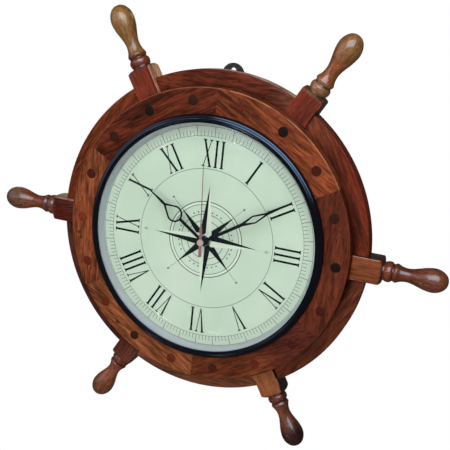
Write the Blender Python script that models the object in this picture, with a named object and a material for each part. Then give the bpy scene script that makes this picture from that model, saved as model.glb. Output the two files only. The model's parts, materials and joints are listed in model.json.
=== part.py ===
"""Ship wheel wall clock: a six-spoke turned wheel around a quartz clock.

Metres, +Z up. The clock faces -Y and hangs against the plane y = 0.
The origin is the middle of the nail hole in the hanger eye.
Heights are counted forward, towards -Y.
"""
import math

import bmesh
import bpy

# Clearances
fit_gap = 0.0003
knob_clearance = 0.0007
cut_overrun = 0.002

# Dial, and the tray that holds it; the tray's wall leans out
dial_radius = 0.1060
dial_thickness = 0.0006
dial_recess = 0.0047
tray_floor_thickness = 0.0018
tray_wall_lean = 0.0025
tray_lip_width = 0.0021
tray_wall_thickness = 0.0014
tray_wall_above_flange = 0.0004
tray_rear_rim = 0.0080
tray_flange_thickness = 0.0012
tray_flange_clearance = 0.0007
tray_clearance = 0.0006

# Lens and bezel
lens_ledge = 0.0030
lens_thickness = 0.0015
lens_rise = 0.0098
lens_dome_clearance = 0.0005
bezel_width = 0.0076
bezel_height = 0.0052
bezel_skirt_thickness = 0.0026
bezel_lip_width = 0.0040

# Inside of the lens from its middle to the rim, as shares of its dome's
# radius and rise
lens_profile_shares = (
    (0.0, 1.0), (0.40, 0.97), (0.65, 0.83), (0.82, 0.60), (0.93, 0.32), (1.0, 0.0),
)

# Rounded section of the bezel, from its inner lip over its crest to its
# foot, as shares of its width and of its height above the foot
bezel_section_shares = (
    (0.00, 0.80), (0.06, 0.88), (0.20, 0.94), (0.36, 0.98), (0.50, 1.00),
    (0.60, 0.94), (0.68, 0.82), (0.82, 0.60), (0.93, 0.32), (1.00, 0.00),
)

# Boards of the wheel: widths along the radius and thicknesses
spoke_count = 6
first_spoke_angle = math.radians(30)
rear_board_width = 0.0281
main_board_width = 0.0425
front_board_width = 0.0281
rear_ring_thickness = 0.0080
main_ring_thickness = 0.0160
front_ring_thickness = 0.0132

# Spokes: a square block, then a turned shoulder and grip
block_width = 0.0228
block_length = 0.0228
shoulder_length = 0.0050
neck_radius = 0.0086
grip_radius = 0.0110
grip_length = 0.0586

# Places along the grip and radii there, as shares of its length and radius
grip_profile_shares = (
    (0.020, 0.773), (0.044, 0.836), (0.084, 0.873), (0.123, 0.836), (0.145, 0.727),
    (0.164, 0.718), (0.188, 0.782), (0.208, 0.800), (0.232, 0.745), (0.283, 0.636),
    (0.360, 0.573), (0.437, 0.609), (0.531, 0.736), (0.633, 0.900), (0.753, 1.000),
    (0.838, 0.955), (0.906, 0.809), (0.957, 0.600), (0.988, 0.345),
)

# Plugs over the assembly screws, three to a board
plug_radius = 0.0046
plug_depth = 0.0050
plug_spread = math.radians(20)
plugs_per_board = 3

# Hanger: an eye above the rear ring on a strap let into the ring's back
eye_rise = 0.0092
eye_radius = 0.0108
nail_hole_above_eye = 0.0042
nail_hole_radius = 0.0025
hanger_thickness = 0.0015
hanger_strap_width = 0.0140
hanger_strap_overlap = 0.0215
hanger_screw_radius = 0.0018
hanger_screw_head_radius = 0.0034
hanger_screw_head_height = 0.0010
hanger_screw_length = 0.0055
hanger_screw_inset = 0.0055
hanger_screw_edge = 0.0050

# Arbors and tubes, from the middle outwards
arbor_radius = 0.0006
minute_tube_clearance = 0.0004
minute_tube_wall = 0.00075
hour_tube_clearance = 0.0003
hour_tube_wall = 0.0007
bush_clearance = 0.00035
bush_wall = 0.0009
bush_height = 0.0050
nut_wall = 0.0015
nut_thickness = 0.0025
tube_stand_out = 0.0004

# Wheels of the movement, at their pitch radii, and their turns ratios
wheel_thickness = 0.0008
seconds_pinion_radius = 0.0012
third_wheel_turns = 7.5
centre_wheel_turns = 8.0
idler_clearance = 0.0012
idler_wheel_turns = 3.0
hour_wheel_turns = 4.0
idler_arbor_radius = 0.0009
fifth_offset = 0.0070
fifth_pinion_turns = 6.0
rotor_offset = 0.0052
rotor_pinion_turns = 5.0
rotor_radius = 0.0023
rotor_length = 0.0040
rotor_end_play = 0.0010
knob_radius = 0.0065
knob_length = 0.0040

# Lengths between the wheels' layers, from the case's front wall to its back
hour_wheel_end_play = 0.0004
idler_pinion_length = 0.0020
cannon_pinion_length = 0.0020
third_pinion_length = 0.0014
seconds_pinion_length = 0.0008
fifth_pinion_length = 0.0006
train_end_play = 0.0008

# Stepping motor: stator plate and coil
stator_thickness = 0.0010
stator_end_play = 0.0018
stator_air_gap = 0.0005
stator_bridge = 0.0004
stator_foot = 0.0008
stator_arm_width = 0.0036
stator_arm_above_coil_axis = 0.0020
coil_radius = 0.0034
coil_length = 0.0240
coil_cheek_radius = 0.0042
coil_cheek_thickness = 0.0012
coil_clearance = 0.0004

# Movement case and cell
case_wall = 0.0012
case_head_room = 0.0006
case_below_axis = 0.0126
cover_thickness = 0.0015
cell_radius = 0.0071
cell_length = 0.0495
cell_cap_radius = 0.0027
cell_cap_length = 0.0010
cell_side_room = 0.0008
cell_end_room = 0.0011

# Hands: spaces between them, thicknesses and lengths
hour_hand_above_bush = 0.0014
minute_hand_above_hour = 0.0024
second_hand_above_minute = 0.0022
hand_thickness = 0.0006
second_hand_thickness = 0.0004
hour_hand_angle = math.radians(304.1)
minute_hand_angle = math.radians(57.9)
second_hand_angle = math.radians(356.6)
hour_hand_length = 0.0675
hour_hub_margin = 0.00185
hour_stem_width = 0.0018
hour_loop_centre = 0.0374
hour_loop_radius = 0.0077
hour_loop_point = 0.0515
hour_loop_line = 0.0014
hour_blade_width = 0.0028
hour_tip_width = 0.0010
minute_tip_to_rim = 0.0135
minute_hub_margin = 0.00205
minute_stem_width = 0.0018
minute_diamond_start = 0.0454
minute_diamond_middle = 0.0571
minute_diamond_end = 0.0715
minute_diamond_width = 0.0077
minute_diamond_line = 0.0011
minute_blade_width = 0.0022
minute_tip_width = 0.0008
second_hand_length = 0.0716
second_hand_width = 0.0009
second_tip_width = 0.0006
second_tail_length = 0.0140
second_tail_width = 0.0030
second_hub_radius = 0.0035
second_hub_height = 0.0015
second_hub_cap = 0.0004

# Smoothness
ring_sides = 48
dial_sides = 48
part_sides = 16
grip_sides = 16
plug_sides = 12
hole_sides = 16
board_steps = 8
shoulder_steps = 4
loop_steps = 10

# Radii of the clock head and the wheel, worked out from the dial
tray_lip_radius = dial_radius + tray_wall_lean
tray_wall_radius = tray_lip_radius + tray_lip_width
bezel_inner_radius = tray_lip_radius
bezel_outer_radius = bezel_inner_radius + bezel_width
bezel_foot_radius = bezel_outer_radius - bezel_skirt_thickness
tray_flange_radius = bezel_foot_radius - tray_flange_clearance
lens_radius = bezel_inner_radius + lens_ledge
lens_dome_radius = bezel_inner_radius - lens_dome_clearance
ring_bore_radius = tray_wall_radius + tray_clearance
rear_ring_radius = ring_bore_radius + rear_board_width
main_ring_radius = ring_bore_radius + main_board_width
front_ring_radius = ring_bore_radius + front_board_width
plug_circle_radius = (bezel_outer_radius + front_ring_radius) / 2
block_start = front_ring_radius + fit_gap
block_end = block_start + block_length
grip_start = block_end + shoulder_length
tip_radius = grip_start + grip_length

# The hanger, above the wheel's centre
eye_centre = rear_ring_radius + eye_rise
eye_to_centre = eye_centre + nail_hole_above_eye
hanger_bottom = rear_ring_radius - hanger_strap_overlap
hanger_screw_places = (hanger_bottom + hanger_screw_inset, rear_ring_radius - hanger_screw_edge)

# Depths of the wheel, forward of the wall
main_ring_back = rear_ring_thickness + fit_gap
main_ring_front = main_ring_back + main_ring_thickness
front_ring_back = main_ring_front + fit_gap
front_ring_face = front_ring_back + front_ring_thickness
spoke_height = main_ring_back + main_ring_thickness / 2
dial_height = front_ring_face - dial_recess

# Heights of the clock head above the dial
tray_floor_front = -dial_thickness - fit_gap
tray_floor_back = tray_floor_front - tray_floor_thickness
wood_seat = dial_recess + fit_gap
flange_top = wood_seat + tray_flange_thickness
tray_wall_height = flange_top + tray_wall_above_flange
lens_seat = tray_wall_height + fit_gap
lens_top = lens_seat + lens_thickness

# Hand tubes and hand heights
minute_tube_bore = arbor_radius + minute_tube_clearance
minute_tube_radius = minute_tube_bore + minute_tube_wall
hour_tube_bore = minute_tube_radius + hour_tube_clearance
hour_tube_radius = hour_tube_bore + hour_tube_wall
bush_bore_radius = hour_tube_radius + bush_clearance
bush_radius = bush_bore_radius + bush_wall
hour_hub_radius = hour_tube_radius + hour_hub_margin
minute_hub_radius = minute_tube_radius + minute_hub_margin
hour_hand_height = bush_height + hour_hand_above_bush
minute_hand_height = hour_hand_height + hand_thickness + minute_hand_above_hour
second_hand_height = minute_hand_height + hand_thickness + second_hand_above_minute
minute_hand_length = dial_radius - minute_tip_to_rim

# Wheels and pinions of the train
third_wheel_radius = seconds_pinion_radius * third_wheel_turns
third_offset = seconds_pinion_radius + third_wheel_radius
third_pinion_radius = third_offset / (1 + centre_wheel_turns)
centre_wheel_radius = third_offset - third_pinion_radius
idler_offset = centre_wheel_radius + idler_arbor_radius + idler_clearance
cannon_pinion_radius = idler_offset / (1 + idler_wheel_turns)
idler_wheel_radius = idler_offset - cannon_pinion_radius
idler_pinion_radius = idler_offset / (1 + hour_wheel_turns)
hour_wheel_radius = idler_offset - idler_pinion_radius
fifth_pinion_radius = fifth_offset / (1 + fifth_pinion_turns)
seconds_wheel_radius = fifth_offset - fifth_pinion_radius
rotor_pinion_radius = rotor_offset / (1 + rotor_pinion_turns)
fifth_wheel_radius = rotor_offset - rotor_pinion_radius
rotor_height = fifth_offset + rotor_offset

# Layers of the wheels behind the case's front wall
hour_layer = hour_wheel_end_play
idler_layer = hour_layer + wheel_thickness + idler_pinion_length
centre_layer = idler_layer + wheel_thickness + cannon_pinion_length
third_layer = centre_layer + wheel_thickness + third_pinion_length
seconds_layer = third_layer + wheel_thickness + seconds_pinion_length
fifth_layer = seconds_layer + wheel_thickness + fifth_pinion_length
chamber_depth = fifth_layer + wheel_thickness + train_end_play

# Motor and case, from the hand axis
stator_bore_radius = rotor_radius + stator_air_gap
stator_bottom = rotor_height - stator_bore_radius - stator_foot
stator_bar_top = rotor_height + stator_bore_radius + stator_bridge
coil_above_axis = stator_bar_top + coil_clearance + coil_cheek_radius
stator_top = coil_above_axis + stator_arm_above_coil_axis
chamber_top = coil_above_axis + coil_cheek_radius + case_head_room
chamber_floor = -case_below_axis
bay_top = chamber_floor - case_wall
bay_floor = bay_top - 2 * cell_radius - cell_side_room
case_top = chamber_top + case_wall
case_bottom = bay_floor - case_wall
case_inner_half = cell_length / 2 + cell_cap_length + cell_end_room
case_half_width = case_inner_half + case_wall
case_front = tray_floor_back - fit_gap
case_inside = case_front - case_wall
case_back = case_inside - chamber_depth
cover_front = case_back - fit_gap
cover_back = cover_front - cover_thickness
arbor_front = case_inside - fit_gap
arbor_back = cover_front + fit_gap

wood_front = ("front_felloe_wood", (0.30, 0.105, 0.040), 0.42, 0.0)
wood_main = ("main_felloe_wood", (0.20, 0.065, 0.028), 0.45, 0.0)
wood_spoke = ("spoke_wood", (0.33, 0.125, 0.048), 0.38, 0.0)
wood_plug = ("plug_wood", (0.075, 0.026, 0.014), 0.50, 0.0)
black_gloss = ("bezel_plastic", (0.010, 0.010, 0.016), 0.14, 0.0)
clear_lens = ("lens_plastic", (0.92, 0.96, 0.95), 0.03, 0.0)
tray_white = ("tray_plastic", (0.62, 0.66, 0.70), 0.40, 0.0)
dial_print = ("dial_paper", (0.66, 0.80, 0.66), 0.55, 0.0)
hand_black = ("hand_lacquer", (0.008, 0.008, 0.010), 0.35, 0.0)
hand_red = ("second_hand_lacquer", (0.45, 0.16, 0.13), 0.40, 0.0)
case_black = ("movement_plastic", (0.020, 0.020, 0.022), 0.50, 0.0)
wheel_plastic = ("movement_wheel_plastic", (0.72, 0.70, 0.62), 0.40, 0.0)
nut_metal = ("nut_nickel", (0.70, 0.70, 0.66), 0.28, 1.0)
steel_black = ("hanger_enamel", (0.015, 0.014, 0.018), 0.35, 0.0)
screw_steel = ("screw_steel", (0.55, 0.54, 0.52), 0.30, 1.0)
copper = ("coil_copper", (0.55, 0.22, 0.10), 0.35, 1.0)
cell_jacket = ("cell_jacket", (0.10, 0.11, 0.13), 0.40, 0.0)
magnet = ("rotor_magnet", (0.12, 0.12, 0.13), 0.45, 0.5)


def clear_scene():
    for obj in list(bpy.data.objects):
        bpy.data.objects.remove(obj, do_unlink=True)


def material(spec):
    name, colour, roughness, metallic = spec
    found = bpy.data.materials.get(name)
    if found:
        return found
    made = bpy.data.materials.new(name)
    made.use_nodes = True
    shader = made.node_tree.nodes["Principled BSDF"]
    shader.inputs["Base Color"].default_value = (*colour, 1.0)
    shader.inputs["Roughness"].default_value = roughness
    shader.inputs["Metallic"].default_value = metallic
    made.diffuse_color = (*colour, 1.0)
    return made


def axis_empty(name, parent=None, right=0.0, forward=0.0, up=0.0):
    """An empty that carries pieces; forward is towards -Y."""
    empty = bpy.data.objects.new(name, None)
    bpy.context.collection.objects.link(empty)
    empty.parent = parent
    empty.location = (right, -forward, up)
    return empty


def place(mesh, name, finish, parent, angle=0.0, forward=0.0):
    """An object for the mesh, turned clockwise by angle as seen from the front."""
    obj = bpy.data.objects.new(name, mesh)
    bpy.context.collection.objects.link(obj)
    if finish and not mesh.materials:
        mesh.materials.append(material(finish))
    obj.parent = parent
    obj.rotation_euler = (0.0, angle, 0.0)
    obj.location = (0.0, -forward, 0.0)
    return obj


def finish_mesh(builder, name):
    bmesh.ops.recalc_face_normals(builder, faces=builder.faces)
    mesh = bpy.data.meshes.new(name)
    builder.to_mesh(mesh)
    builder.free()
    mesh.shade_smooth()
    mesh.set_sharp_from_angle(angle=math.radians(35))
    return mesh


def turned_mesh(name, outline, sides):
    """A solid turned about the local Y axis from closed (radius, height) points."""
    builder = bmesh.new()
    rings = []
    for radius, height in outline:
        if radius == 0:
            rings.append([builder.verts.new((0.0, -height, 0.0))])
            continue
        ring = []
        for step in range(sides):
            turn = math.tau * step / sides
            ring.append(builder.verts.new(
                (radius * math.sin(turn), -height, radius * math.cos(turn))))
        rings.append(ring)
    for index, ring in enumerate(rings):
        following = rings[(index + 1) % len(rings)]
        if len(ring) == 1 and len(following) == 1:
            continue
        for step in range(sides):
            nearby = (step + 1) % sides
            corners = [ring[step % len(ring)], ring[nearby % len(ring)],
                       following[nearby % len(following)], following[step % len(following)]]
            builder.faces.new(list(dict.fromkeys(corners)))
    return finish_mesh(builder, name)


def prism_mesh(name, outline, back, front):
    """A flat piece from (right, up) points, between two heights."""
    builder = bmesh.new()
    lower = [builder.verts.new((right, -back, up)) for right, up in outline]
    upper = [builder.verts.new((right, -front, up)) for right, up in outline]
    builder.faces.new(lower)
    builder.faces.new(upper)
    for index in range(len(outline)):
        nearby = (index + 1) % len(outline)
        builder.faces.new((lower[index], lower[nearby], upper[nearby], upper[index]))
    return finish_mesh(builder, name)


def box_outline(left, right, bottom, top):
    return [(left, bottom), (right, bottom), (right, top), (left, top)]


def circle_outline(radius, sides, right=0.0, up=0.0):
    return [(right + radius * math.sin(math.tau * step / sides),
             up + radius * math.cos(math.tau * step / sides)) for step in range(sides)]


def tool_solid(mesh, name, parent, angle=0.0):
    """A hidden solid that only shapes other pieces."""
    obj = place(mesh, name, None, parent, angle)
    obj.hide_render = True
    obj.display_type = 'WIRE'
    return obj


def shape_with(obj, tool, operation):
    modifier = obj.modifiers.new(tool.name, 'BOOLEAN')
    modifier.operation = operation
    modifier.solver = 'EXACT'
    modifier.object = tool


def joined_mesh(name, meshes):
    """Several apart solids in one mesh, for use as one cutting tool."""
    builder = bmesh.new()
    for mesh in meshes:
        builder.from_mesh(mesh)
    return finish_mesh(builder, name)


def board_outline(outer, inner, end_offset):
    """A sixth of a ring about the upward direction; its ends lie parallel to
    the radii that bound the sixth, end_offset inside them."""
    half = math.pi / spoke_count
    points = []
    for radius, direction in ((outer, 1), (inner, -1)):
        limit = half - math.asin(end_offset / radius)
        for step in range(board_steps + 1):
            turn = direction * limit * (2 * step / board_steps - 1)
            points.append((radius * math.sin(turn), radius * math.cos(turn)))
    return points


def plug_angles():
    """Clockwise places of the plugs on one board, from its middle."""
    middle = (plugs_per_board - 1) / 2
    return [plug_spread * (index - middle) for index in range(plugs_per_board)]


def build_rings(centre):
    front_mesh = prism_mesh("front_felloe", board_outline(
        front_ring_radius, ring_bore_radius, fit_gap / 2), front_ring_back, front_ring_face)
    main_mesh = prism_mesh("main_felloe", board_outline(
        main_ring_radius, ring_bore_radius, block_width / 2 + fit_gap),
        main_ring_back, main_ring_front)
    plug_mesh = prism_mesh("plug", circle_outline(plug_radius, plug_sides, up=plug_circle_radius),
                           front_ring_face - plug_depth, front_ring_face)
    holes = []
    for angle in plug_angles():
        right = plug_circle_radius * math.sin(angle)
        up = plug_circle_radius * math.cos(angle)
        holes.append(prism_mesh("plug_hole", circle_outline(
            plug_radius + fit_gap, hole_sides, right, up),
            front_ring_face - plug_depth - fit_gap, front_ring_face + cut_overrun))
    hole_mesh = joined_mesh("plug_holes", holes)
    for index in range(spoke_count):
        spoke_angle = first_spoke_angle + math.tau * index / spoke_count
        number = index + 1
        board = place(front_mesh, f"front_felloe_{number}", wood_front, centre, spoke_angle)
        cutter = tool_solid(hole_mesh, f"cut_plug_holes_{number}", centre, spoke_angle)
        shape_with(board, cutter, 'DIFFERENCE')
        place(main_mesh, f"main_felloe_{number}", wood_main, centre,
              spoke_angle + math.pi / spoke_count)
        for place_number, angle in enumerate(plug_angles()):
            place(plug_mesh, f"plug_{index * plugs_per_board + place_number + 1}", wood_plug,
                  centre, spoke_angle + angle)


def spoke_ring(along, turned_radius, depth_share=1.0):
    """Points round the spoke: a circle of turned_radius held inside the block's square."""
    half = block_width / 2
    points = []
    for step in range(grip_sides):
        turn = math.tau * step / grip_sides
        side, depth = math.cos(turn), math.sin(turn)
        reach = min(turned_radius, half / max(abs(side), abs(depth)))
        points.append((reach * side, -reach * depth * depth_share, along))
    return points


def spoke_mesh():
    """Tenon between the main boards, square block, turned shoulder and grip, along +Z."""
    corner = block_width * math.sqrt(2) / 2 + fit_gap
    tenon_share = main_ring_thickness / block_width
    rings = [spoke_ring(ring_bore_radius, corner, tenon_share),
             spoke_ring(block_start, corner, tenon_share),
             spoke_ring(block_start, corner),
             spoke_ring(block_end, corner)]
    for step in range(1, shoulder_steps + 1):
        turn = math.pi / 2 * step / shoulder_steps
        rings.append(spoke_ring(block_end + shoulder_length * math.sin(turn),
                                neck_radius + (corner - neck_radius) * math.cos(turn)))
    for length_share, radius_share in grip_profile_shares:
        rings.append(spoke_ring(grip_start + grip_length * length_share,
                                grip_radius * radius_share))
    builder = bmesh.new()
    made = [[builder.verts.new(point) for point in ring] for ring in rings]
    tip = builder.verts.new((0.0, 0.0, tip_radius))
    builder.faces.new(made[0])
    for ring, following in zip(made, made[1:]):
        for step in range(grip_sides):
            nearby = (step + 1) % grip_sides
            builder.faces.new((ring[step], ring[nearby], following[nearby], following[step]))
    for step in range(grip_sides):
        builder.faces.new((made[-1][step], made[-1][(step + 1) % grip_sides], tip))
    return finish_mesh(builder, "spoke")


def build_spokes(centre):
    mesh = spoke_mesh()
    for index in range(spoke_count):
        angle = first_spoke_angle + math.tau * index / spoke_count
        place(mesh, f"spoke_{index + 1}", wood_spoke, centre, angle, spoke_height)


def hanger_outline(grow):
    """Strap with a round eye on top, about the wheel's centre, grown by grow."""
    half = hanger_strap_width / 2 + grow
    radius = eye_radius + grow
    meet = math.asin(half / radius)
    points = [(-half, hanger_bottom - grow), (half, hanger_bottom - grow)]
    for step in range(part_sides + 1):
        turn = math.pi - meet - (math.tau - 2 * meet) * step / part_sides
        points.append((radius * math.sin(turn), eye_centre + radius * math.cos(turn)))
    return points


def build_rear_ring_and_hanger(centre):
    ring = place(turned_mesh("rear_ring", [
        (ring_bore_radius, 0.0), (rear_ring_radius, 0.0),
        (rear_ring_radius, rear_ring_thickness), (ring_bore_radius, rear_ring_thickness)],
        ring_sides), "rear_ring", wood_main, centre)
    pocket = prism_mesh("hanger_pocket", hanger_outline(fit_gap),
                        -cut_overrun, hanger_thickness + fit_gap)
    shape_with(ring, tool_solid(pocket, "cut_hanger_pocket", centre), 'DIFFERENCE')
    plate = place(prism_mesh("hanger_plate", hanger_outline(0.0), 0.0, hanger_thickness),
                  "hanger_plate", steel_black, centre)
    nail_hole = prism_mesh("nail_hole", circle_outline(nail_hole_radius, hole_sides, up=eye_to_centre),
                           -cut_overrun, hanger_thickness + cut_overrun)
    shape_with(plate, tool_solid(nail_hole, "cut_nail_hole", centre), 'DIFFERENCE')
    screw_mesh = turned_mesh("hanger_screw", [
        (0.0, 0.0), (hanger_screw_head_radius, 0.0),
        (hanger_screw_head_radius, hanger_screw_head_height),
        (hanger_screw_radius, hanger_screw_head_height),
        (hanger_screw_radius, hanger_screw_length), (0.0, hanger_screw_length)], hole_sides)
    for number, up in enumerate(hanger_screw_places, start=1):
        head = prism_mesh("head_hole", circle_outline(
            hanger_screw_head_radius + fit_gap, hole_sides, up=up),
            -cut_overrun, hanger_screw_head_height + fit_gap)
        shank = prism_mesh("shank_hole", circle_outline(
            hanger_screw_radius + fit_gap, hole_sides, up=up),
            -cut_overrun, hanger_screw_length + fit_gap)
        head_tool = tool_solid(head, f"cut_screw_head_{number}", centre)
        shank_tool = tool_solid(shank, f"cut_screw_shank_{number}", centre)
        shape_with(plate, head_tool, 'DIFFERENCE')
        shape_with(plate, shank_tool, 'DIFFERENCE')
        shape_with(ring, shank_tool, 'DIFFERENCE')
        screw = place(screw_mesh, f"hanger_screw_{number}", screw_steel, centre)
        screw.location.z = up


def lens_outline():
    """Domed sheet with a flat rim, from the axis out along its inside and back."""
    inner = []
    outer = []
    for across, up in lens_profile_shares:
        height = lens_seat + lens_rise * up
        inner.append((lens_dome_radius * across, height))
        outer.append((lens_dome_radius * across, height + lens_thickness))
    rim = [(lens_radius, lens_seat), (lens_radius, lens_top)]
    return inner + rim + outer[::-1]


def bezel_outline():
    width = bezel_outer_radius - bezel_inner_radius
    lip_height = lens_top + fit_gap
    section = [(bezel_inner_radius + width * across, wood_seat + bezel_height * up)
               for across, up in bezel_section_shares]
    return section + [(bezel_foot_radius, wood_seat), (bezel_foot_radius, lens_seat),
                      (bezel_inner_radius + bezel_lip_width, lip_height),
                      (bezel_inner_radius, lip_height)]


def tray_outline():
    hole = bush_radius + fit_gap
    rim_inner = tray_wall_radius - tray_wall_thickness
    rim_back = tray_floor_back - tray_rear_rim
    return [(hole, tray_floor_front), (dial_radius + fit_gap, tray_floor_front),
            (dial_radius + fit_gap, 0.0), (tray_lip_radius, tray_wall_height),
            (tray_wall_radius, tray_wall_height), (tray_wall_radius, flange_top),
            (tray_flange_radius, flange_top), (tray_flange_radius, wood_seat),
            (tray_wall_radius, wood_seat), (tray_wall_radius, rim_back),
            (rim_inner, rim_back), (rim_inner, tray_floor_back), (hole, tray_floor_back)]


def build_head(axis):
    place(turned_mesh("bezel", bezel_outline(), ring_sides), "bezel", black_gloss, axis)
    place(turned_mesh("lens", lens_outline(), dial_sides), "lens", clear_lens, axis)
    place(turned_mesh("tray", tray_outline(), dial_sides), "tray", tray_white, axis)
    hole = bush_radius + fit_gap
    place(turned_mesh("dial", [(hole, -dial_thickness), (dial_radius, -dial_thickness),
                               (dial_radius, 0.0), (hole, 0.0)], dial_sides),
          "dial", dial_print, axis)
    nut = place(prism_mesh("fixing_nut", circle_outline(
        (bush_radius + nut_wall) / math.cos(math.pi / 6), 6), fit_gap, fit_gap + nut_thickness),
        "fixing_nut", nut_metal, axis)
    bore = prism_mesh("nut_bore", circle_outline(hole, part_sides),
                      fit_gap - cut_overrun, fit_gap + nut_thickness + cut_overrun)
    shape_with(nut, tool_solid(bore, "cut_nut_bore", axis), 'DIFFERENCE')


def build_case(axis):
    case = place(prism_mesh("movement_case", box_outline(
        -case_half_width, case_half_width, case_bottom, case_top), case_back, case_front),
        "movement_case", case_black, axis)
    rooms = joined_mesh("case_rooms", [
        prism_mesh("chamber", box_outline(
            -case_inner_half, case_inner_half, chamber_floor, chamber_top),
            case_back - cut_overrun, case_inside),
        prism_mesh("cell_bay", box_outline(
            -case_inner_half, case_inner_half, bay_floor, bay_top),
            case_back - cut_overrun, case_inside)])
    shape_with(case, tool_solid(rooms, "cut_case_rooms", axis), 'DIFFERENCE')
    bush = prism_mesh("bush", circle_outline(bush_radius, part_sides), case_inside, bush_height)
    shape_with(case, tool_solid(bush, "add_bush", axis), 'UNION')
    bore = prism_mesh("bush_bore", circle_outline(bush_bore_radius, part_sides),
                      case_inside - cut_overrun, bush_height + cut_overrun)
    shape_with(case, tool_solid(bore, "cut_bush_bore", axis), 'DIFFERENCE')

    cover = place(prism_mesh("movement_cover", box_outline(
        -case_half_width, case_half_width, chamber_floor - case_wall, case_top),
        cover_back, cover_front), "movement_cover", case_black, axis)
    knob_hole = prism_mesh("knob_hole", circle_outline(
        idler_arbor_radius + fit_gap, hole_sides, right=idler_offset),
        cover_back - cut_overrun, cover_front + cut_overrun)
    shape_with(cover, tool_solid(knob_hole, "cut_knob_hole", axis), 'DIFFERENCE')


def lying_mesh(name, outline, sides):
    """A solid turned about the local X axis from closed (radius, place) points."""
    mesh = turned_mesh(name, outline, sides)
    for vertex in mesh.vertices:
        along, up = -vertex.co.y, vertex.co.z
        vertex.co = (along, vertex.co.x, up)
    return mesh


def build_cell_and_coil(axis):
    half = cell_length / 2
    cell = place(lying_mesh("battery_cell", [
        (0.0, -half), (cell_radius, -half), (cell_radius, half),
        (cell_cap_radius, half), (cell_cap_radius, half + cell_cap_length),
        (0.0, half + cell_cap_length)], part_sides), "battery_cell", cell_jacket, axis,
        forward=case_inside - fit_gap - cell_radius)
    cell.location.z = bay_floor + fit_gap + cell_radius
    half = coil_length / 2
    coil = place(lying_mesh("coil", [
        (0.0, -half), (coil_cheek_radius, -half),
        (coil_cheek_radius, -half + coil_cheek_thickness),
        (coil_radius, -half + coil_cheek_thickness), (coil_radius, half - coil_cheek_thickness),
        (coil_cheek_radius, half - coil_cheek_thickness), (coil_cheek_radius, half),
        (0.0, half)], part_sides), "coil", copper, axis,
        forward=case_inside - fit_gap - coil_cheek_radius)
    coil.location.z = coil_above_axis


def build_stator(axis):
    """Two arms beside the coil and a bar below it that goes round the rotor."""
    arm_inner = coil_length / 2 + fit_gap
    arm_outer = arm_inner + stator_arm_width
    outline = [(-arm_outer, stator_bottom), (arm_outer, stator_bottom), (arm_outer, stator_top),
               (arm_inner, stator_top), (arm_inner, stator_bar_top),
               (-arm_inner, stator_bar_top), (-arm_inner, stator_top), (-arm_outer, stator_top)]
    front = case_inside - stator_end_play
    back = front - stator_thickness
    stator = place(prism_mesh("stator", outline, back, front), "stator", screw_steel, axis)
    bore = prism_mesh("stator_bore", circle_outline(
        stator_bore_radius, hole_sides, up=rotor_height),
        back - cut_overrun, front + cut_overrun)
    shape_with(stator, tool_solid(bore, "cut_stator_bore", axis), 'DIFFERENCE')


def layer(depth):
    """Heights of the front and back of a wheel in a layer of the movement."""
    front = case_inside - depth
    return front, front - wheel_thickness


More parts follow.
